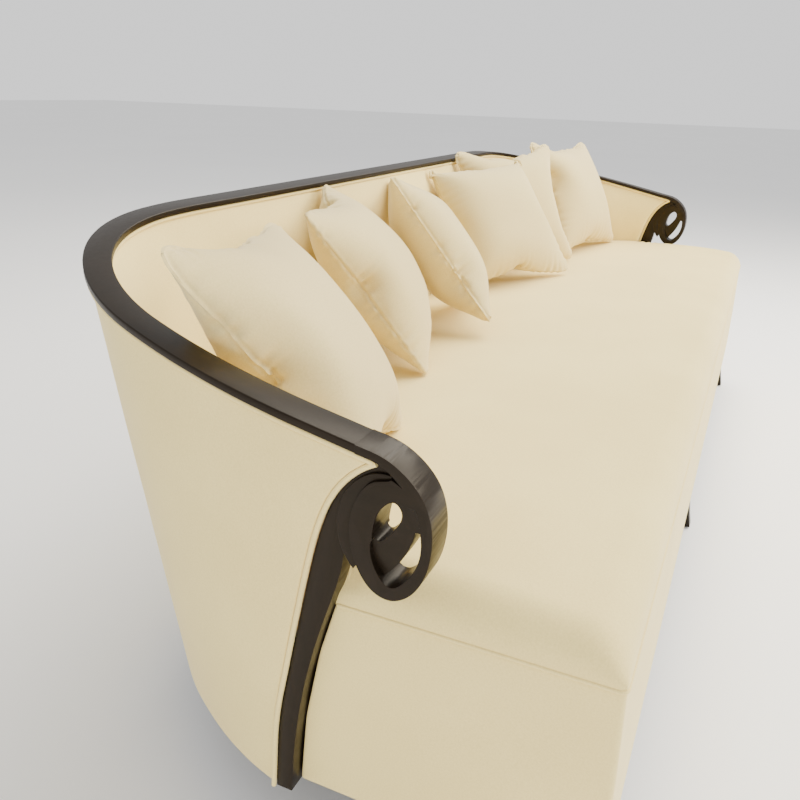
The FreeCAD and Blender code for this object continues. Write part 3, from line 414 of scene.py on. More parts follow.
def feed(tree, made, inputs):
    """Links or sets inputs of a node."""
    for key, value in inputs.items():
        if isinstance(value, bpy.types.NodeSocket):
            tree.links.new(value, made.inputs[key])
        else:
            made.inputs[key].default_value = value


def node(tree, kind, out, inputs, **values):
    """Adds a node, sets its properties and inputs, and gives one of its outputs."""
    made = assign(tree.nodes.new(kind), **values)
    feed(tree, made, inputs)
    return made.outputs[out]


def on_object(tree):
    return node(tree, "ShaderNodeTexCoord", "Object", {})


def stretched(tree, stretch):
    """Object coordinates scaled per axis, so that a pattern runs along one of them."""
    return node(tree, "ShaderNodeMapping", "Vector", {"Vector": on_object(tree),
                                                      "Scale": stretch})


def noise(tree, at, scale, **inputs):
    return node(tree, "ShaderNodeTexNoise", "Fac", {"Vector": at, "Scale": scale, **inputs})


def spread(tree, value, low, high, start=0.0, end=1.0):
    """Maps a value from start..end to low..high."""
    return node(tree, "ShaderNodeMapRange", "Result", {
        "Value": value, "From Min": start, "From Max": end, "To Min": low, "To Max": high})


def added(tree, a, b):
    return node(tree, "ShaderNodeMath", "Value", {0: a, 1: b}, operation="ADD")


def relief(tree, height, strength, distance, **under):
    return node(tree, "ShaderNodeBump", "Normal", {
        "Height": height, "Strength": strength, "Distance": distance, **under})


def tinted(colour, share):
    """A colour times one share, or one for each channel, and held at white."""
    return np.minimum(np.multiply(colour, share), 1.0).tolist()


def ramp(tree, factor, low, high, a, b):
    """Two-colour ramp from low at position a to high at position b."""
    made = tree.nodes.new("ShaderNodeValToRGB")
    feed(tree, made, {"Fac": factor})
    for stop, colour, position in zip(made.color_ramp.elements, (low, high), (a, b)):
        assign(stop, position=position, color=(*colour, 1.0))
    return made.outputs["Color"]


def wood_material(name, stretch, base, gloss):
    """Stained wood: long grain streaks, fine open pores, a slightly uneven lacquer."""
    made, tree, shader = new_material(name)
    at = stretched(tree, stretch)
    grain = noise(tree, at, 9.0, Detail=8.0, Roughness=0.62, Distortion=0.6)
    pores = noise(tree, at, 70.0, Detail=4.0, Roughness=0.7)
    feed(tree, shader, {
        "Base Color": ramp(tree, grain, tinted(base, 0.86), tinted(base, 1.16), 0.32, 0.70),
        "Roughness": spread(tree, pores, gloss - 0.02, gloss + 0.04, 0.3, 0.7),
        "Normal": relief(tree, added(tree, grain, pores), 0.03, 0.0004),
        "Specular IOR Level": 0.16, "Specular Tint": (1.0, 0.93, 0.80, 1.0)})
    return made


def cloth_material(name, base, weave=0.14, nap=0.5, pitch=0.0008):
    """Plain-woven cloth: crossed threads at the real pitch, slubs, faint shading and nap. A
    wave texture of scale 1 repeats every 0.314 m."""
    made, tree, shader = new_material(name)
    at = on_object(tree)
    turned = node(tree, "ShaderNodeMapping", "Vector", {"Vector": at,
                                                        "Rotation": (0.6, 1.1, 1.5708)})
    warp, weft = (node(tree, "ShaderNodeTexWave", "Fac", {
        "Vector": way, "Scale": 0.314 / pitch, "Distortion": 1.2, "Detail": 1.0,
        "Detail Scale": 2.0}, bands_direction="DIAGONAL") for way in (at, turned))
    fine = noise(tree, at, 420.0, Detail=2.0)
    mixed = added(tree, noise(tree, at, 5.0, Detail=3.0), fine)
    half = node(tree, "ShaderNodeMath", "Value", {0: mixed, 1: 0.5}, operation="MULTIPLY")
    rough = relief(tree, added(tree, warp, weft), weave, 0.0003)
    feed(tree, shader, {
        "Base Color": ramp(tree, half, tinted(base, (0.93, 0.915, 0.89)),
                           tinted(base, (1.04, 1.045, 1.06)), 0.36, 0.64),
        "Normal": relief(tree, fine, 0.12, 0.0004, Normal=rough),
        "Roughness": 0.86, "Specular IOR Level": 0.25, "Sheen Weight": nap,
        "Sheen Roughness": 0.45, "Sheen Tint": (1.0, 0.90, 0.68, 1.0)})
    return made


def metal_material(name, base):
    """Drawn wire and plated bolts: brushed streaks and slightly uneven gloss."""
    made, tree, shader = new_material(name)
    streak = noise(tree, stretched(tree, (1.0, 1.0, 0.1)), 240.0, Detail=3.0)
    feed(tree, shader, {"Base Color": ramp(tree, streak, tinted(base, 0.8), base, 0.3, 0.7),
                        "Metallic": 1.0, "Roughness": spread(tree, streak, 0.22, 0.42)})
    return made


def foam_material(name, base):
    """Open-celled foam: small rounded pores and a slight yellowing."""
    made, tree, shader = new_material(name)
    at = on_object(tree)
    cells = node(tree, "ShaderNodeTexVoronoi", "Distance", {"Vector": at, "Scale": 500.0})
    tone = noise(tree, at, 8.0)
    feed(tree, shader, {"Base Color": ramp(tree, tone, tinted(base, 0.88), base, 0.35, 0.65),
                        "Roughness": 0.95, "Normal": relief(tree, cells, 0.5, 0.0008)})
    return made


def plastic_material(name, base):
    """Moulded nylon: a fine grained skin whose gloss varies with the grain."""
    made, tree, shader = new_material(name)
    grain = noise(tree, on_object(tree), 900.0, Detail=2.0)
    feed(tree, shader, {"Base Color": ramp(tree, grain, tinted(base, 0.8), base, 0.3, 0.7),
                        "Roughness": spread(tree, grain, 0.4, 0.6)})
    return made


# Scale of the grain along each axis of the stained pieces; c and d are for the corners
STAINED = {"wood_x": (0.5, 6.0, 6.0), "wood_y": (6.0, 0.5, 6.0), "wood_z": (6.0, 6.0, 0.5),
           "wood_c": (1.2, 2.2, 6.0), "wood_d": (1.3, 2.4, 6.0)}


def material(name):
    """One of the scene's materials by name, made when it is first wanted."""
    if name in bpy.data.materials:
        return bpy.data.materials[name]
    tones = bpy.context.scene.sofa_materials
    if name in STAINED:
        return wood_material(name, STAINED[name], tuple(tones.wood), tones.wood_gloss)
    makers = {
        "raw_wood": lambda: wood_material(name, (1.0, 3.0, 6.0), (0.52, 0.34, 0.18), 0.6),
        "peg_wood": lambda: wood_material(name, (6.0, 0.5, 6.0), (0.58, 0.40, 0.22), 0.6),
        "cover_cloth": lambda: cloth_material(name, tuple(tones.cover)),
        # The pillows' cloth is the cover's cream made up to a sixth darker. That darkening is
        # painted shade for the pillows' shaded faces.
        "pillow_cloth_painted_shade": lambda: cloth_material(name, tuple(tones.pillow), weave=0.1225, nap=0.6,
                                               pitch=0.0007),
        "lining": lambda: cloth_material(name, (0.02, 0.02, 0.021), nap=0.1, pitch=0.0016),
        "wire": lambda: metal_material(name, (0.42, 0.42, 0.43)),
        "foam": lambda: foam_material(name, (0.80, 0.74, 0.55)),
        "glide": lambda: plastic_material(name, (0.03, 0.03, 0.03)),
    }
    return makers[name]()


def dress(piece, name):
    """Gives every material slot of a piece the named material."""
    piece.data.materials.clear()
    piece.data.materials.append(material(name))
    return piece


def dress_nodes(names, material_name):
    for name in names:
        carried_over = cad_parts[name]
        if not carried_over.material_slots:
            carried_over.data.materials.append(None)
        for slot in carried_over.material_slots:
            slot.link = "OBJECT"
            slot.material = material(material_name)


# Show wood

def eased_section(half, thick, arris, steps=4):
    """Cross section of a strip with rounded arrises: (offset, height) of a rectangle whose
    corners are quarter circles, half by thick, centred on its own middle height."""
    a = np.linspace(0.0, np.pi / 2, steps)
    ring = []
    for k, (sx, sz) in enumerate(((1, 1), (-1, 1), (-1, -1), (1, -1))):
        turn = a + k * np.pi / 2
        ring.append(np.stack([(half - arris)[:, None] * sx + arris * np.cos(turn),
                              np.full((len(half), steps), (thick / 2 - arris) * sz)
                              + arris * np.sin(turn)], -1))
    return np.concatenate(ring, 1)


def rail_piece(name, s0, s1, count, node_name, wood, flip=False):
    """A length of the top rail: the eased section carried along the rail's path."""
    s = np.linspace(s0, s1, count)
    ring = eased_section(half_width(np.minimum(s, 2.0 * S_MIDDLE - s)), RAIL_THICK, 0.0018)
    middle = rail_top(s) - RAIL_THICK / 2
    points = place(s[:, None], ring[..., 0], middle[:, None] + ring[..., 1])
    piece = join(name, [points * MIRROR if flip else points])
    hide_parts(node_name)
    return dress(piece, wood)


def eased_copy(node_name, wood, arris=0.0012):
    """A carved piece with its sharp edges rounded over: the node's own surface, its loose
    triangles merged into whole faces, and every edge that turns sharply bevelled."""
    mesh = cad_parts[node_name].data.copy()
    with opened(mesh) as bm:
        bmesh.ops.remove_doubles(bm, verts=bm.verts, dist=1e-5)
        bmesh.ops.dissolve_limit(bm, angle_limit=np.radians(0.6), verts=bm.verts, edges=bm.edges)
    mesh.shade_smooth()
    piece = add_object(node_name + "_eased", mesh)
    modify(piece, "BEVEL", width=arris, segments=3, limit_method="ANGLE",
           angle_limit=CARVED_TURN, harden_normals=True)
    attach(piece, "root")
    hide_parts(node_name)
    return dress(piece, wood)


# Upholstered walls

def follow_post(rows, low):
    """Path lengths and heights of a wall's face. Each row starts behind the post's cord and
    ends at the sofa's middle. As the wall's top depends on the path length, and the start on
    the height, the two are found in turn."""
    edge = behind_post(WELT_ROOM)[::-1]
    u = np.linspace(0.0, 1.0, WALL_COLUMNS)[:, None] ** 1.25
    v = np.linspace(0.0, 1.0, rows)
    first = np.full(rows, 0.05)
    for attempt in range(30):
        s = first + u * (S_MIDDLE - first)
        z = low + v * (shell_top(s) - low)
        first = np.interp(z[0], edge[:, 1], edge[:, 0]) - RAIL_START_Y
    return first + u * (S_MIDDLE - first), z


def turned_front(s, o, z, turn, inner):
    """Adds the front end to a wall's face: flat from the offset inner, then a quarter circle
    of radius turn into the face, s = s0 + turn (1 - sin a), o = o0 -+ turn (1 - cos a). The
    top edge is tucked in behind the cord in two steps."""
    side = np.sign(o[:1] - inner)
    more_s = [s[:1]] * 3
    more_o = [inner + (o[:1] - side * turn - inner) * share for share in (0.0, 0.5, 1.0)]
    for angle in np.radians((80.0, 60.0, 40.0, 20.0)):
        more_s.append(s[:1] + turn * (1.0 - np.sin(angle)))
        more_o.append(o[:1] - side * turn * (1.0 - np.cos(angle)))
    rest = s[:1] + turn + (s - s[:1]) * (S_MIDDLE - s[:1] - turn) / (S_MIDDLE - s[:1])
    s = np.concatenate(more_s + [rest])
    o = np.concatenate(more_o + [o])
    z = np.concatenate([z[:1]] * len(more_s) + [z])
    top = o[:, -1:]
    rise, in_by = np.array([0.0012, 0.0032]), np.array([0.0014, 0.0036])
    return (np.concatenate([s, s[:, -1:], s[:, -1:]], 1),
            np.concatenate([o, top - np.sign(top) * in_by], 1),
            np.concatenate([z, z[:, -1:] + rise], 1))


def uneven_wall(s, o, z, depth, scale, seed):
    """Points of a wall's face on both halves, with a soft unevenness of so much depth."""
    uneven = depth * folds(*np.moveaxis(place(s, o, z), -1, 0), scale, seed)
    return both_sides(place(s, o + uneven, z))


def cloth_sheet(name, points, far, look, thickness):
    """Sheet of cover cloth from a grid of points, thickened behind. Its face farthest along
    Y, or -Y where far is -1, looks along Y, or -Y where look is -1."""
    piece = add_mesh(name, points, grid_faces(*points.shape[:2]).tolist())
    faces = piece.data.polygons
    last = (far * vectors_of(faces, "center")[:, 1]).argmax()
    if look * vectors_of(faces, "normal")[last, 1] < 0.0:
        piece.data.flip_normals()
    modify(piece, "SOLIDIFY", thickness=thickness, offset=-1.0)
    modify(piece, "SUBSURF", levels=1, render_levels=1)
    return piece


def outside_cover():
    """Outside of arms and back in one cloth: outward offset = panel face + a soft swell
    sin(pi v), turned in at the front edge beside the cord."""
    s, z = follow_post(OUTSIDE_ROWS, SKIRT)
    v = np.linspace(0.0, 1.0, OUTSIDE_ROWS)
    swell = 0.0010 * np.sin(np.pi * v) * smooth((s - s[:1]) / 0.10)
    s, o, z = turned_front(s, outer_face(s, z) + swell, z, turn=0.0028, inner=0.0090)
    points = uneven_wall(s, o, z, depth=0.0005, scale=0.35, seed=4)
    piece = cloth_sheet("outside_cover", points, far=1, look=1, thickness=0.0012)
    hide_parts("left_outside_panel", "right_outside_panel", "outside_back_panel")
    return dress(piece, "cover_cloth")


def inside_cover():
    """Inside of arms and back in one cloth over padding: from the welt a quadratic curve
    (1-t)^2 face + 2t(1-t) knee + t^2 edge swells inward, then it drops upright behind the
    seat."""
    s, z = follow_post(INSIDE_ROWS, INSIDE_LOW)
    face = pad_inner(s)
    edge = REVEAL - half_width(s)
    swell = 0.13 * (edge - face) + 0.005
    knee = 2.0 * ((face + edge) / 2.0 - swell) - 0.5 * (face + edge)
    t = np.clip((z - PAD_STRAIGHT_TOP) / (shell_top(s) - PAD_STRAIGHT_TOP), 0.0, 1.0)
    o = (1 - t) ** 2 * face + 2 * t * (1 - t) * knee + t ** 2 * edge
    s, o, z = turned_front(s, o, z, turn=0.008, inner=-0.0075)
    points = uneven_wall(s, o, z, depth=0.0008, scale=0.30, seed=9)
    piece = cloth_sheet("inside_cover", points, far=1, look=-1, thickness=0.004)
    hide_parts("left_inside_pad", "right_inside_pad", "inside_back_pad")
    return dress(piece, "cover_cloth")


# Welts

def cords(name, lines, radius=WELT, ribs=0.025):
    """Sewn cords along lines of points, in one piece."""
    return join(name, [tube(line, radius, ribs) for line in lines])


def rail_welt(name, side, node_name):
    """Cord under the rail, along its outer edge (side 1) or its inner one (side -1)."""
    s = np.linspace(CORD_START, S_MIDDLE, 700)
    o = side * (half_width(s) - REVEAL - 0.0005)
    piece = cords(name, [both_sides(place(s, o, rail_under(s) - WELT - GAP))])
    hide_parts(node_name)
    return dress(piece, "cover_cloth")


def post_welts():
    """Four cords down the arm fronts, just behind the post's back edge."""
    line = behind_post(WELT + GAP, smooth_line(POST_BACK, 300))
    line = line[line[:, 0] > CORD_START + RAIL_START_Y - 0.003]
    reach = HALF_SCROLL - REVEAL - 0.002
    lines = []
    for side, low in ((-1.0, SKIRT), (1.0, SEAM + 0.005)):
        cord = np.insert(line[line[:, 1] > low], 0, -ARM_X + side * reach, axis=1)
        cord[:, 1] += SHIFT_Y
        lines += [cord, cord * MIRROR]
    piece = cords("post_cords", lines)
    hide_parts("post_welts")
    return dress(piece, "cover_cloth")


def seam_line(x, y, back, z):
    """Line round the seat at height z: up the left end, round the corner, along the front
    and back again."""
    corner = BORDER_CORNER
    a = np.linspace(0.0, np.pi / 2, CORNER_POINTS)
    end = np.stack([np.full(END_POINTS, -x),
                    np.linspace(back, y + corner, END_POINTS, endpoint=False)], -1)
    bend = np.stack([corner - x - corner * np.cos(a), y + corner - corner * np.sin(a)], -1)
    front = np.stack([np.linspace(corner - x, 0.0, FRONT_POINTS), np.full(FRONT_POINTS, y)], -1)
    return both_sides(np.insert(np.concatenate([end, bend, front[1:]]), 2, z, axis=1))


def seat_welt():
    """Cord in the seat's seam."""
    line = seam_line(SEAT_END_X - 0.0004, SEAT_FRONT_Y + 0.0004, POST_FRONT[3, 0],
                     SEAM + GAP / 2)
    line[:, 1] += SHIFT_Y
    piece = cords("seat_cord", [line], radius=SEAT_WELT, ribs=0.03)
    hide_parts("seat_welt")
    return dress(piece, "cover_cloth")


# Seat and border

def seat_height(x, y):
    """Crowned top: a parabola falling to the back, times quarter-ellipse rolls at the front
    and the ends, h = rise sqrt(1 - (1 - d / roll)^2) with d the distance from the edge, and
    pulled down round the post."""
    from_front = y - SHIFT_Y - SEAT_FRONT_Y
    d_front = np.clip(from_front / SEAT_ROLL, 0.0, 1.0)
    d_end = np.clip((SEAT_END_X - np.abs(x)) / SEAT_ROLL, 0.0, 1.0)
    t = from_front - SEAT_HIGH_AT
    front_drop = SEAT_FRONT_FALL * np.clip(-t / SEAT_FRONT_RUN, 0.0, 1.4) ** 2
    back_drop = SEAT_BACK_FALL * np.clip(t / SEAT_BACK_RUN, 0.0, 1.2) ** 2
    top = SEAT_CROWN - GAP - front_drop - back_drop
    share = np.sqrt(1.0 - (1.0 - d_front) ** 2) * (0.1 + 0.9 * np.sqrt(1.0 - (1.0 - d_end) ** 2))
    near = np.hypot(np.abs(x) - NOTCH_X, y - SHIFT_Y - NOTCH_Y)
    share = share * (1.0 - NOTCH_DIP * np.exp(-(near / NOTCH_REACH) ** 2))
    return SEAM + GAP + SEAT_LIP + (top - SEAT_LIP) * share


def seat_outline():
    """Plan outline of the seat: round the front, past each post on its inner side, and back
    along the padding. Points lie closer together beside the posts, with a density of
    1 + 6 exp(-((y - notch) / 0.04)^2)."""
    front = seam_line(SEAT_END_X, SEAT_FRONT_Y, NOTCH_Y, 0.0)[:, :2]
    s = np.linspace(EAR_BACK_Y - RAIL_START_Y, S_MIDDLE, 500)
    back = both_sides(place(s, pad_inner(s) - SEAT_SIDE_FIT, 0.0))[::-1, :2]
    back[:, 1] -= SHIFT_Y
    ear = np.array([(NOTCH_X, NOTCH_Y), (NOTCH_X, EAR_WELT_Y), (EAR_X, EAR_WELT_Y),
                    (EAR_X, EAR_Y), (-back[-1, 0], EAR_Y)])
    ring = np.concatenate([front, ear, back, ear[::-1] * MIRROR[:2], front[:1]])
    at = lengths(ring)
    fine = np.linspace(0.0, at[-1], 20000)
    x, y = np.interp(fine, at, ring[:, 0]), np.interp(fine, at, ring[:, 1])
    dense = 1.0 + 6.0 * np.exp(-((y - NOTCH_Y) / 0.04) ** 2) * (np.abs(x) > 1.1)
    weight = np.concatenate([[0.0], np.cumsum(dense[1:])])
    t = np.interp(np.linspace(0.0, weight[-1], SEAT_POINTS, endpoint=False), weight, fine)
    return np.stack([np.interp(t, at, ring[:, 0]), np.interp(t, at, ring[:, 1]) + SHIFT_Y], -1)


def seat_pad():
    """Tight seat: rings between the outline and a line down the middle, each point
    (1 - r) spine + r outline, raised to the crowned height, with a turned-under edge."""
    ring = seat_outline()
    spine = np.stack([np.clip(ring[:, 0], -0.80, 0.80), np.full(len(ring), -0.060 + SHIFT_Y)], -1)
    r = 1.0 - np.linspace(0.0, 1.0, SEAT_RINGS)[::-1] ** 1.6
    plan = spine[None] + (ring - spine)[None] * r[:, None, None]
    z = seat_height(plan[..., 0], plan[..., 1])
    soft = smooth((1.0 - r[:, None]) / 0.10)
    z = z + 0.0009 * soft * folds(plan[..., 0], plan[..., 1], 0.0, 0.42, 21)
    z = z + corner_creases(plan)
    top = against_post(np.concatenate([plan, z[..., None]], -1))
    edge = against_post(np.insert(ring, 2, SEAM + GAP, axis=1)[None])
    under = edge.copy()
    under[..., :2] = spine + (ring - spine) * 0.97
    shell = np.concatenate([top, edge, under])
    rows, count = shell.shape[:2]
    faces = grid_faces(rows, count, closed=True).tolist()
    faces.append([(rows - 1) * count + j for j in range(count)])
    piece = add_mesh("seat_cover", shell, faces)
    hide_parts("seat_pad")
    return dress(piece, "cover_cloth")


def against_post(points):
    """Leans the short edge that faces each post to the slope of the post's front:
    y' = y + w (front(z) - notch), w falling off with distance from that edge."""
    x, y, z = np.moveaxis(points, -1, 0)
    near = np.exp(-((y - SHIFT_Y - NOTCH_Y) / 0.012) ** 2)
    w = near * smooth((np.abs(x) - NOTCH_X + 0.001) / 0.001)
    points[..., 1] = y + w * (post_front(z) - NOTCH_Y)
    return points


def corner_creases(plan):
    """Small puckers that fan out where the seat is pulled round each post: sines in the
    angle about that corner, fading with distance from it."""
    total = np.zeros(plan.shape[:2])
    for side in (-1.0, 1.0):
        dx = (side * NOTCH_X - plan[..., 0]) * side
        dy = NOTCH_Y + SHIFT_Y - plan[..., 1]
        fade = np.exp(-((np.hypot(dx, dy) - 0.028) / 0.024) ** 2)
        total += 0.0013 * np.sin(np.arctan2(dy, dx) * 11.0 + side) * fade
    return total


def front_border():
    """Cover below the seat: one cloth round the front and both ends, leaning out by
    FRONT_LEAN at the skirt, with a faint swell sin(pi v) between the hems."""
    v = np.linspace(0.0, 1.0, BORDER_ROWS)
    left = seam_line(SEAT_END_X, SEAT_FRONT_Y, 0.0, 0.0)
    left = left[:len(left) // 2 + 1]
    points = np.repeat(left[:, None], BORDER_ROWS, axis=1)
    points[..., 2] = SKIRT + v * (SEAM - SKIRT)
    start = post_front(points[0, :, 2])
    share = np.arange(END_POINTS)[:, None] / END_POINTS
    points[:END_POINTS, :, 1] = start + share * (SEAT_FRONT_Y + BORDER_CORNER - start)
    points[..., 1] -= FRONT_LEAN * (1.0 - v) * smooth((-0.20 - points[..., 1]) / 0.24)
    points[..., 1] += SHIFT_Y
    wave = 0.0006 * folds(*np.moveaxis(points, -1, 0), 0.30, 33)
    run = unit(np.gradient(left[:, :2], axis=0))
    normal = np.stack([run[:, 1], -run[:, 0]], -1)
    out = (0.0012 + wave) * np.sin(np.pi * v) - 0.0006
    points[..., :2] += normal[:, None, :] * out[..., None]
    piece = cloth_sheet("front_border", both_sides(points), far=-1, look=-1, thickness=0.004)
    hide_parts("front_border_panel", "left_end_panel", "right_end_panel")
    return dress(piece, "cover_cloth")


# Pillows

def turn_matrix(turn, back, roll):
    """Roll about the pillow's own front axis, lean back about X, then turn about Z."""
    return (Matrix.Rotation(np.radians(turn), 3, "Z") @ Matrix.Rotation(np.radians(-back), 3, "X")
            @ Matrix.Rotation(np.radians(roll), 3, "Y"))


def sewn_faces(cells):
    """Two square grids sewn edge to edge: the front's point numbers, the rear's, which
    shares the front's border, and the faces of both."""
    front = np.arange(cells * cells).reshape(cells, cells)
    rear = front.copy()
    rear[1:-1, 1:-1] = cells * cells + np.arange((cells - 2) ** 2).reshape(cells - 2, cells - 2)
    faces = grid_faces(cells, cells)
    return front, rear, np.concatenate([faces, rear.ravel()[faces[:, ::-1]]]).tolist()


def sewn_points(front, rear):
    """The points of both grids in one list, the shared border once."""
    return np.concatenate([front.reshape(-1, 3), rear[1:-1, 1:-1].reshape(-1, 3)])


def cut_size(x, z):
    """Half the size of the eased square through a point: (|x|^16 + |z|^16)^(1/16)."""
    return (np.abs(x) ** 16 + np.abs(z) ** 16) ** 0.0625


def pillow_blank(seed):
    """Two pieces of cloth laid flat and slightly parted, cut as a square with eased
    corners."""
    g = np.linspace(-1.0, 1.0, CLOTH_CELLS)
    u, v = np.meshgrid(g, g, indexing="ij")
    ease = np.maximum(np.abs(u), np.abs(v)) / np.maximum(cut_size(u, v), 1e-9)
    x, z = u * ease * HALF_CUT, v * ease * HALF_CUT
    h = np.sqrt((1 - u * u) * (1 - v * v)) * (0.010 + 0.0015 * folds(x, 0.0, z, 0.16, seed))
    return np.stack([x, -h, z], -1), np.stack([x, h, z], -1)


def inflate(name, front, rear, pressure):
    """Blows the sewn blank up as cloth, with no gravity, and gives both sides back."""
    front_at, rear_at, faces = sewn_faces(CLOTH_CELLS)
    mesh = bpy.data.meshes.new(name)
    mesh.from_pydata(sewn_points(front, rear).tolist(), [], faces)
    with opened(mesh) as bm:
        bmesh.ops.recalc_face_normals(bm, faces=bm.faces)
    blank = add_object(name, mesh)
    cloth = modify(blank, "CLOTH")
    assign(cloth.settings, quality=6, mass=0.25, tension_stiffness=60.0,
           compression_stiffness=30.0, shear_stiffness=12.0, bending_stiffness=0.45,
           tension_damping=15.0, compression_damping=15.0, air_damping=3.0,
           use_pressure=True, uniform_pressure_force=pressure)
    cloth.settings.effector_weights.gravity = 0.0
    assign(cloth.collision_settings, use_collision=False, use_self_collision=False)
    assign(cloth.point_cache, frame_start=1, frame_end=CLOTH_FRAMES)
    scene = bpy.context.scene
    for step in range(1, CLOTH_FRAMES + 1):
        scene.frame_set(step)
    done = blank.evaluated_get(bpy.context.evaluated_depsgraph_get())
    points = vectors_of(done.data.vertices, "co")
    bpy.data.objects.remove(blank)
    scene.frame_set(1)
    return calmed(points[front_at]), calmed(points[rear_at])


def calmed(side):
    """Evens out the middle of a filled side and keeps the folds near its seam: passes of
    p' = p + w/2 (mean of the four neighbours - p), w rising from the seam inward."""
    g = np.arange(CLOTH_CELLS)
    depth = np.minimum(g, CLOTH_CELLS - 1 - g)
    depth = np.minimum(depth[:, None], depth)
    w = smooth((depth - 0.5) / CALM_DEPTH)[1:-1, 1:-1, None]
    side = side.copy()
    for step in range(CALM_PASSES):
        mean = (side[2:, 1:-1] + side[:-2, 1:-1] + side[1:-1, 2:] + side[1:-1, :-2]) / 4.0
        side[1:-1, 1:-1] += 0.5 * w * (mean - side[1:-1, 1:-1])
    return side


def fit_pillow(front, rear):
    """Scales the filled cloth so that its size and its thickness match the part, with the
    filling a little lower than the middle: y' = y (1 + 0.05 (0.2 - v))."""
    both = sewn_points(front, rear)
    lo, hi = both.min(0), both.max(0)
    size = np.array([PILLOW_SIZE, PILLOW_THICK, PILLOW_SIZE])
    sides = []
    for side in (front, rear):
        side = (side - (lo + hi) / 2) * size / (hi - lo)
        side[..., 1] *= 1.0 + 0.05 * (0.2 - side[..., 2] / (PILLOW_SIZE / 2))
        sides.append(side)
    return sides


def finer(grid, places):
    """A grid of points read off at new places along both of its directions."""
    return smooth_at(smooth_at(grid, places).swapaxes(0, 1), places).swapaxes(0, 1)


def square_to(grid, way):
    """Unit normals of a grid of points, on the side that way (-1 front, 1 rear) looks to."""
    n = unit(np.cross(np.gradient(grid, axis=0), np.gradient(grid, axis=1)))
    middle = len(n) // 2
    return n * np.sign(n[middle, middle, 1]) * way


def gathers(flat, seed):
    """Small folds square to the seam, as depth along the normal: a sine along the seam,
    uneven in strength and reach, fading away from it, and a groove at the seam itself."""
    across, up = np.abs(flat[..., 0]), np.abs(flat[..., 2])
    from_seam = np.maximum(HALF_CUT - cut_size(across, up), 0.0)
    along = np.where(across > up, flat[..., 2], flat[..., 0])
    side = np.where(across > up, np.sign(flat[..., 0]), 2.0 * np.sign(flat[..., 2]))
    share = np.clip(np.abs(across - up) / 0.030, 0.0, 1.0)
    strength = np.clip(0.55 + 0.65 * folds(along, side, 0.0, 0.10, seed), 0.0, 1.4) * share
    reach = GATHER_REACH + 0.011 * np.clip(folds(along, side, 1.0, 0.08, seed + 2), -1.0, 1.0)
    phase = 1.7 * side + 1.6 * folds(along, side, 0.0, 0.09, seed + 1)
    fold = np.sin(2.0 * np.pi * along / GATHER_PITCH + phase)
    fade = np.exp(-from_seam / reach) * (1.0 - np.exp(-from_seam / 0.003))
    groove = -SEAM_GROOVE * np.exp(-(from_seam / 0.0022) ** 2)
    lips = SEAM_LIP * np.exp(-((from_seam - 0.0055) / 0.003) ** 2)
    return GATHER_HEIGHT * strength * fold * fade + groove + lips


def pillow(index):
    """One pillow: the filled cloth read off on a grid that is finer at the seam, at cell
    numbers (n - 1)/2 (1 + 0.45 t + 0.55 sin(pi t / 2)), with its gathered seam, turned and
    leaned into its place, and pressed flat on the seat."""
    name, x, y, z, turn, back, roll = PILLOWS[index]
    blank = pillow_blank(11 + 7 * index)
    pressure = PRESSURE + 0.5 * (index % 3)
    filled = inflate(name + "_blank", *blank, pressure)
    t = np.linspace(-1.0, 1.0, PILLOW_CELLS)
    places = (CLOTH_CELLS - 1) * 0.5 * (1.0 + 0.45 * t + 0.55 * np.sin(0.5 * np.pi * t))
    sides = [finer(side, places) for side in fit_pillow(*filled)]
    flats = [finer(side, places) for side in blank]
    normals = [square_to(side, way) for side, way in zip(sides, (-1.0, 1.0))]
    rim = np.ones((PILLOW_CELLS, PILLOW_CELLS, 1), bool)
    rim[1:-1, 1:-1] = False
    mean = unit(normals[0] + normals[1], 1e-9)
    sides = [side + np.where(rim, mean, n) * gathers(flat, 40 + index + 9 * k)[..., None]
             for k, (side, n, flat) in enumerate(zip(sides, normals, flats))]
    world = sewn_points(*sides) @ np.array(turn_matrix(turn, back, roll)).T
    world += np.array([x, y + SHIFT_Y, z])
    world[:, 2] = np.maximum(world[:, 2], seat_height(world[:, 0], world[:, 1]) + 0.0012)
    piece = add_mesh(name + "_cover", world, sewn_faces(PILLOW_CELLS)[2])
    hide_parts(name)
    return dress(piece, "pillow_cloth_painted_shade")


# Stage

def area_light(name, where, aim, size, power):
    """Warm rectangular lamp that looks from where towards aim."""
    lamp = bpy.data.lights.new(name, "AREA")
    assign(lamp, shape="RECTANGLE", size=size[0], size_y=size[1], energy=power,
           color=(1.0, 0.94, 0.82))
    holder = add_object(name, lamp)
    holder.location = where
    holder.rotation_euler = (Vector(aim) - Vector(where)).to_track_quat("-Z", "Y").to_euler()


def add_world(surround):
    """Surround of one tone for the camera. The light it gives is dimmer, most of all from
    the horizon."""
    world = bpy.data.worlds.new("Studio")
    world.use_nodes = True
    sky = world.node_tree
    way = node(sky, "ShaderNodeTexCoord", "Generated", {})
    height = node(sky, "ShaderNodeSeparateXYZ", "Z", {"Vector": way})
    lit = ramp(sky, height, (0.66, 0.66, 0.66), (1.30, 1.30, 1.30), 0.0, 0.85)
    seen = node(sky, "ShaderNodeLightPath", "Is Camera Ray", {})
    colour = node(sky, "ShaderNodeMix", 2, {0: seen, 6: lit, 7: (1.36, 1.36, 1.36, 1.0)},
                  data_type="RGBA")
    feed(sky, sky.nodes["Background"], {"Color": colour, "Strength": surround})
    bpy.context.scene.world = world


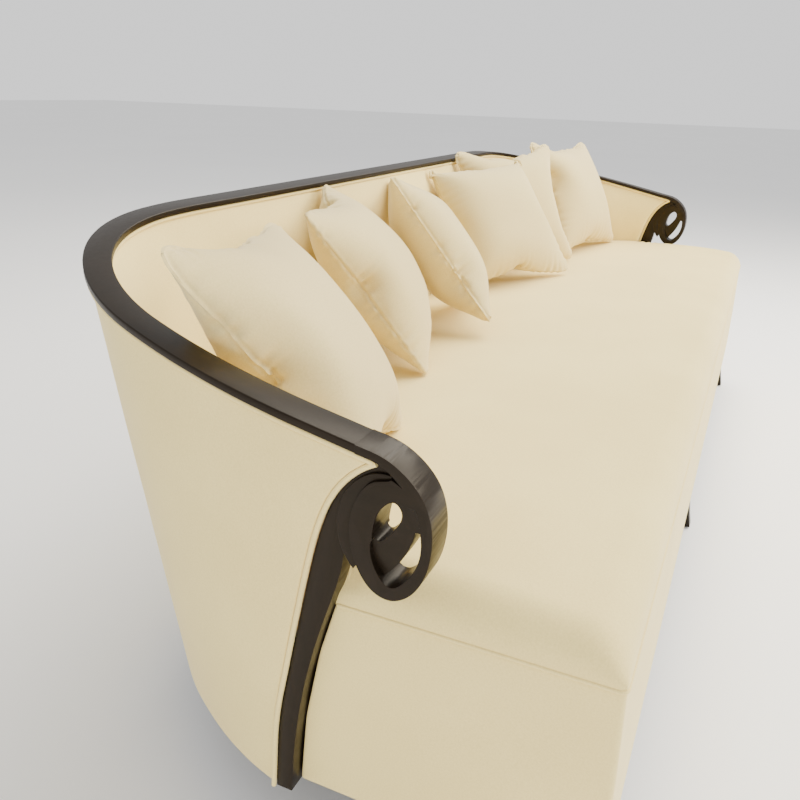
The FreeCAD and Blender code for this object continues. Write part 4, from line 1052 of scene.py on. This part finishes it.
def add_stage(tones):
    """Pale floor and surround and the soft lights."""
    add_world(tones.surround)
    mesh = bpy.data.meshes.new("floor")
    far = 30.0
    mesh.from_pydata([(-far, -far, 0), (far, -far, 0), (far, far, 0), (-far, far, 0)], [],
                     [(0, 1, 2, 3)])
    floor = add_object("floor", mesh)
    made, tree, shader = new_material("pale_floor")
    tone = ramp(tree, noise(tree, on_object(tree), 0.6), [0.95] * 3, [0.97] * 3, 0.3, 0.7)
    feed(tree, shader, {"Base Color": tone, "Roughness": 0.9})
    mesh.materials.append(made)
    area_light("soft_top", (1.5, -0.8, 3.3), (0.0, 0.1, 0.3), (3.6, 3.0), 1.15 * tones.key)
    area_light("soft_front", (1.3, -4.4, 3.0), (0.0, 0.1, 0.4), (3.0, 2.4), tones.key)
    area_light("soft_left", (-3.8, -0.9, 0.5), (-1.0, -0.1, 0.35), (2.6, 0.8), tones.side)


def add_camera():
    """Camera fitted to the picture: place, view axes and focal length."""
    data = bpy.data.cameras.new("camera")
    assign(data, lens=35.50, sensor_width=36.0, clip_start=0.05, clip_end=100.0)
    holder = add_object("camera", data)
    yaw, pitch, roll = 0.4159, 0.3773, 0.0295
    d = np.array([np.cos(pitch) * np.cos(yaw), np.cos(pitch) * np.sin(yaw), -np.sin(pitch)])
    r = unit(np.cross(d, [0.0, 0.0, 1.0]))
    u = np.cross(r, d)
    axes = np.eye(4)
    axes[:3, 0] = r * np.cos(roll) + u * np.sin(roll)
    axes[:3, 1] = u * np.cos(roll) - r * np.sin(roll)
    axes[:3, 2] = -d
    axes[:3, 3] = (-1.8431, -0.4778 + SHIFT_Y, 0.9835)
    holder.matrix_world = Matrix(axes.tolist())
    bpy.context.scene.camera = holder


# User settings

class SofaMaterials(bpy.types.PropertyGroup):
    """Colours and gloss of the sofa's finishes."""
    wood: bpy.props.FloatVectorProperty(
        name="Wood", description="Stain of the show wood", subtype="COLOR", min=0.0, max=1.0,
        default=(0.0120, 0.0080, 0.0050))
    wood_gloss: bpy.props.FloatProperty(
        name="Wood roughness", description="Roughness of the lacquer", subtype="FACTOR",
        min=0.0, max=1.0, default=0.33)
    cover: bpy.props.FloatVectorProperty(
        name="Cover", description="Cloth of seat, arms and back", subtype="COLOR", min=0.0,
        max=1.0, default=(0.86, 0.70, 0.29))
    # Darker than the cover's cream by up to a sixth. The difference is painted shade for the
    # pillows' shaded faces.
    pillow: bpy.props.FloatVectorProperty(
        name="Pillows", description="Cloth of the loose pillows", subtype="COLOR", min=0.0,
        max=1.0, default=(0.72, 0.585, 0.275))


class SofaStage(bpy.types.PropertyGroup):
    """Strength of the studio light."""
    surround: bpy.props.FloatProperty(
        name="Surround", description="Brightness of the white surround", min=0.0, default=0.86)
    key: bpy.props.FloatProperty(
        name="Top light", description="Power of the large top light", subtype="POWER",
        unit="POWER", min=0.0, default=255.0)
    side: bpy.props.FloatProperty(
        name="Side light", description="Power of the side light", subtype="POWER",
        unit="POWER", min=0.0, default=50.0)


# Operators

class SOFA_OT_stage(bpy.types.Operator):
    """Adds the floor, the soft lights and the camera"""
    bl_idname = "sofa.stage"
    bl_label = "Stage and camera"

    def execute(self, context):
        add_camera()
        add_stage(context.scene.sofa_stage)
        return {"FINISHED"}


class SOFA_OT_show_wood(bpy.types.Operator):
    """Finishes the rails, scrolls, posts and legs in dark stained wood"""
    bl_idname = "sofa.show_wood"
    bl_label = "Show wood"

    def execute(self, context):
        for side, flip in (("left", False), ("right", True)):
            rail_piece(side + "_arm_strip", S_JOINT, S_ARC, 90, side + "_arm_rail", "wood_y", flip)
            rail_piece(side + "_corner_strip", S_ARC, S_FLAT, 110, side + "_corner_rail",
                       "wood_d" if flip else "wood_c", flip)
            for part in ("_scroll", "_scroll_cheek"):
                eased_copy(side + part, "wood_y")
            eased_copy(side + "_front_post", "wood_z", arris=0.0018)
        rail_piece("back_strip", S_FLAT, 2.0 * S_MIDDLE - S_FLAT, 24, "back_rail", "wood_x")
        for name in ("front_legs", "rear_legs"):
            eased_copy(name, "wood_z", arris=0.0025)
        return {"FINISHED"}


class SOFA_OT_frame(bpy.types.Operator):
    """Finishes the hidden frame, springs, cloths, bolts and glides"""
    bl_idname = "sofa.frame"
    bl_label = "Hidden frame"

    def execute(self, context):
        dress_nodes([side + part for side in ("left", "right", "back")
                     for part in ("_frame_top_rail", "_frame_sill", "_frame_uprights")]
                    + ["front_seat_rail", "back_seat_rail", "seat_side_rails", "seat_end_boards",
                       "arm_ties", "seat_shelves", "cross_braces", "corner_blocks"], "raw_wood")
        dress_nodes(["rail_dowels"], "peg_wood")
        dress_nodes(["back_webbing", "deck_cloth", "dust_cover"], "lining")
        dress_nodes(["seat_springs", "spring_clips", "leg_bolts"], "wire")
        dress_nodes(["seat_foam"], "foam")
        dress_nodes(["leg_glides"], "glide")
        return {"FINISHED"}


class SOFA_OT_walls(bpy.types.Operator):
    """Covers the outside and inside of arms and back"""
    bl_idname = "sofa.walls"
    bl_label = "Arm and back covers"

    def execute(self, context):
        outside_cover()
        inside_cover()
        return {"FINISHED"}


class SOFA_OT_welts(bpy.types.Operator):
    """Lays the cords under the rail, beside the posts and in the seat's seam"""
    bl_idname = "sofa.welts"
    bl_label = "Welts"

    def execute(self, context):
        rail_welt("outside_cord", 1.0, "outside_welt")
        rail_welt("inside_cord", -1.0, "inside_welt")
        post_welts()
        seat_welt()
        return {"FINISHED"}


class SOFA_OT_seat(bpy.types.Operator):
    """Makes the tight seat and the border below it"""
    bl_idname = "sofa.seat"
    bl_label = "Seat"

    def execute(self, context):
        seat_pad()
        front_border()
        return {"FINISHED"}


class SOFA_OT_pillows(bpy.types.Operator):
    """Fills the six loose pillows and leans them in their places"""
    bl_idname = "sofa.pillows"
    bl_label = "Pillows"

    def execute(self, context):
        for index in range(len(PILLOWS)):
            pillow(index)
        return {"FINISHED"}


class SOFA_PT_panel(bpy.types.Panel):
    """Lists the sofa's settings and steps"""
    bl_idname = "SOFA_PT_panel"
    bl_label = "Sofa"
    bl_space_type = "VIEW_3D"
    bl_region_type = "UI"
    bl_category = "Sofa"

    def draw(self, context):
        layout = self.layout
        for group in (context.scene.sofa_materials, context.scene.sofa_stage):
            for key in group.__annotations__:
                layout.prop(group, key)
        for step in STEPS:
            layout.operator(step.bl_idname)


STEPS = (SOFA_OT_stage, SOFA_OT_show_wood, SOFA_OT_frame, SOFA_OT_walls, SOFA_OT_welts,
         SOFA_OT_seat, SOFA_OT_pillows)
CLASSES = (SofaMaterials, SofaStage) + STEPS + (SOFA_PT_panel,)


def register():
    for made in CLASSES:
        bpy.utils.register_class(made)
    bpy.types.Scene.sofa_materials = bpy.props.PointerProperty(type=SofaMaterials)
    bpy.types.Scene.sofa_stage = bpy.props.PointerProperty(type=SofaStage)


def unregister():
    del bpy.types.Scene.sofa_stage
    del bpy.types.Scene.sofa_materials
    for made in reversed(CLASSES):
        bpy.utils.unregister_class(made)


def main():
    register()
    bpy.ops.sofa.stage()
    bpy.ops.sofa.show_wood()
    bpy.ops.sofa.frame()
    bpy.ops.sofa.walls()
    bpy.ops.sofa.welts()
    bpy.ops.sofa.seat()
    bpy.ops.sofa.pillows()


if __name__ == "__main__":
    main()
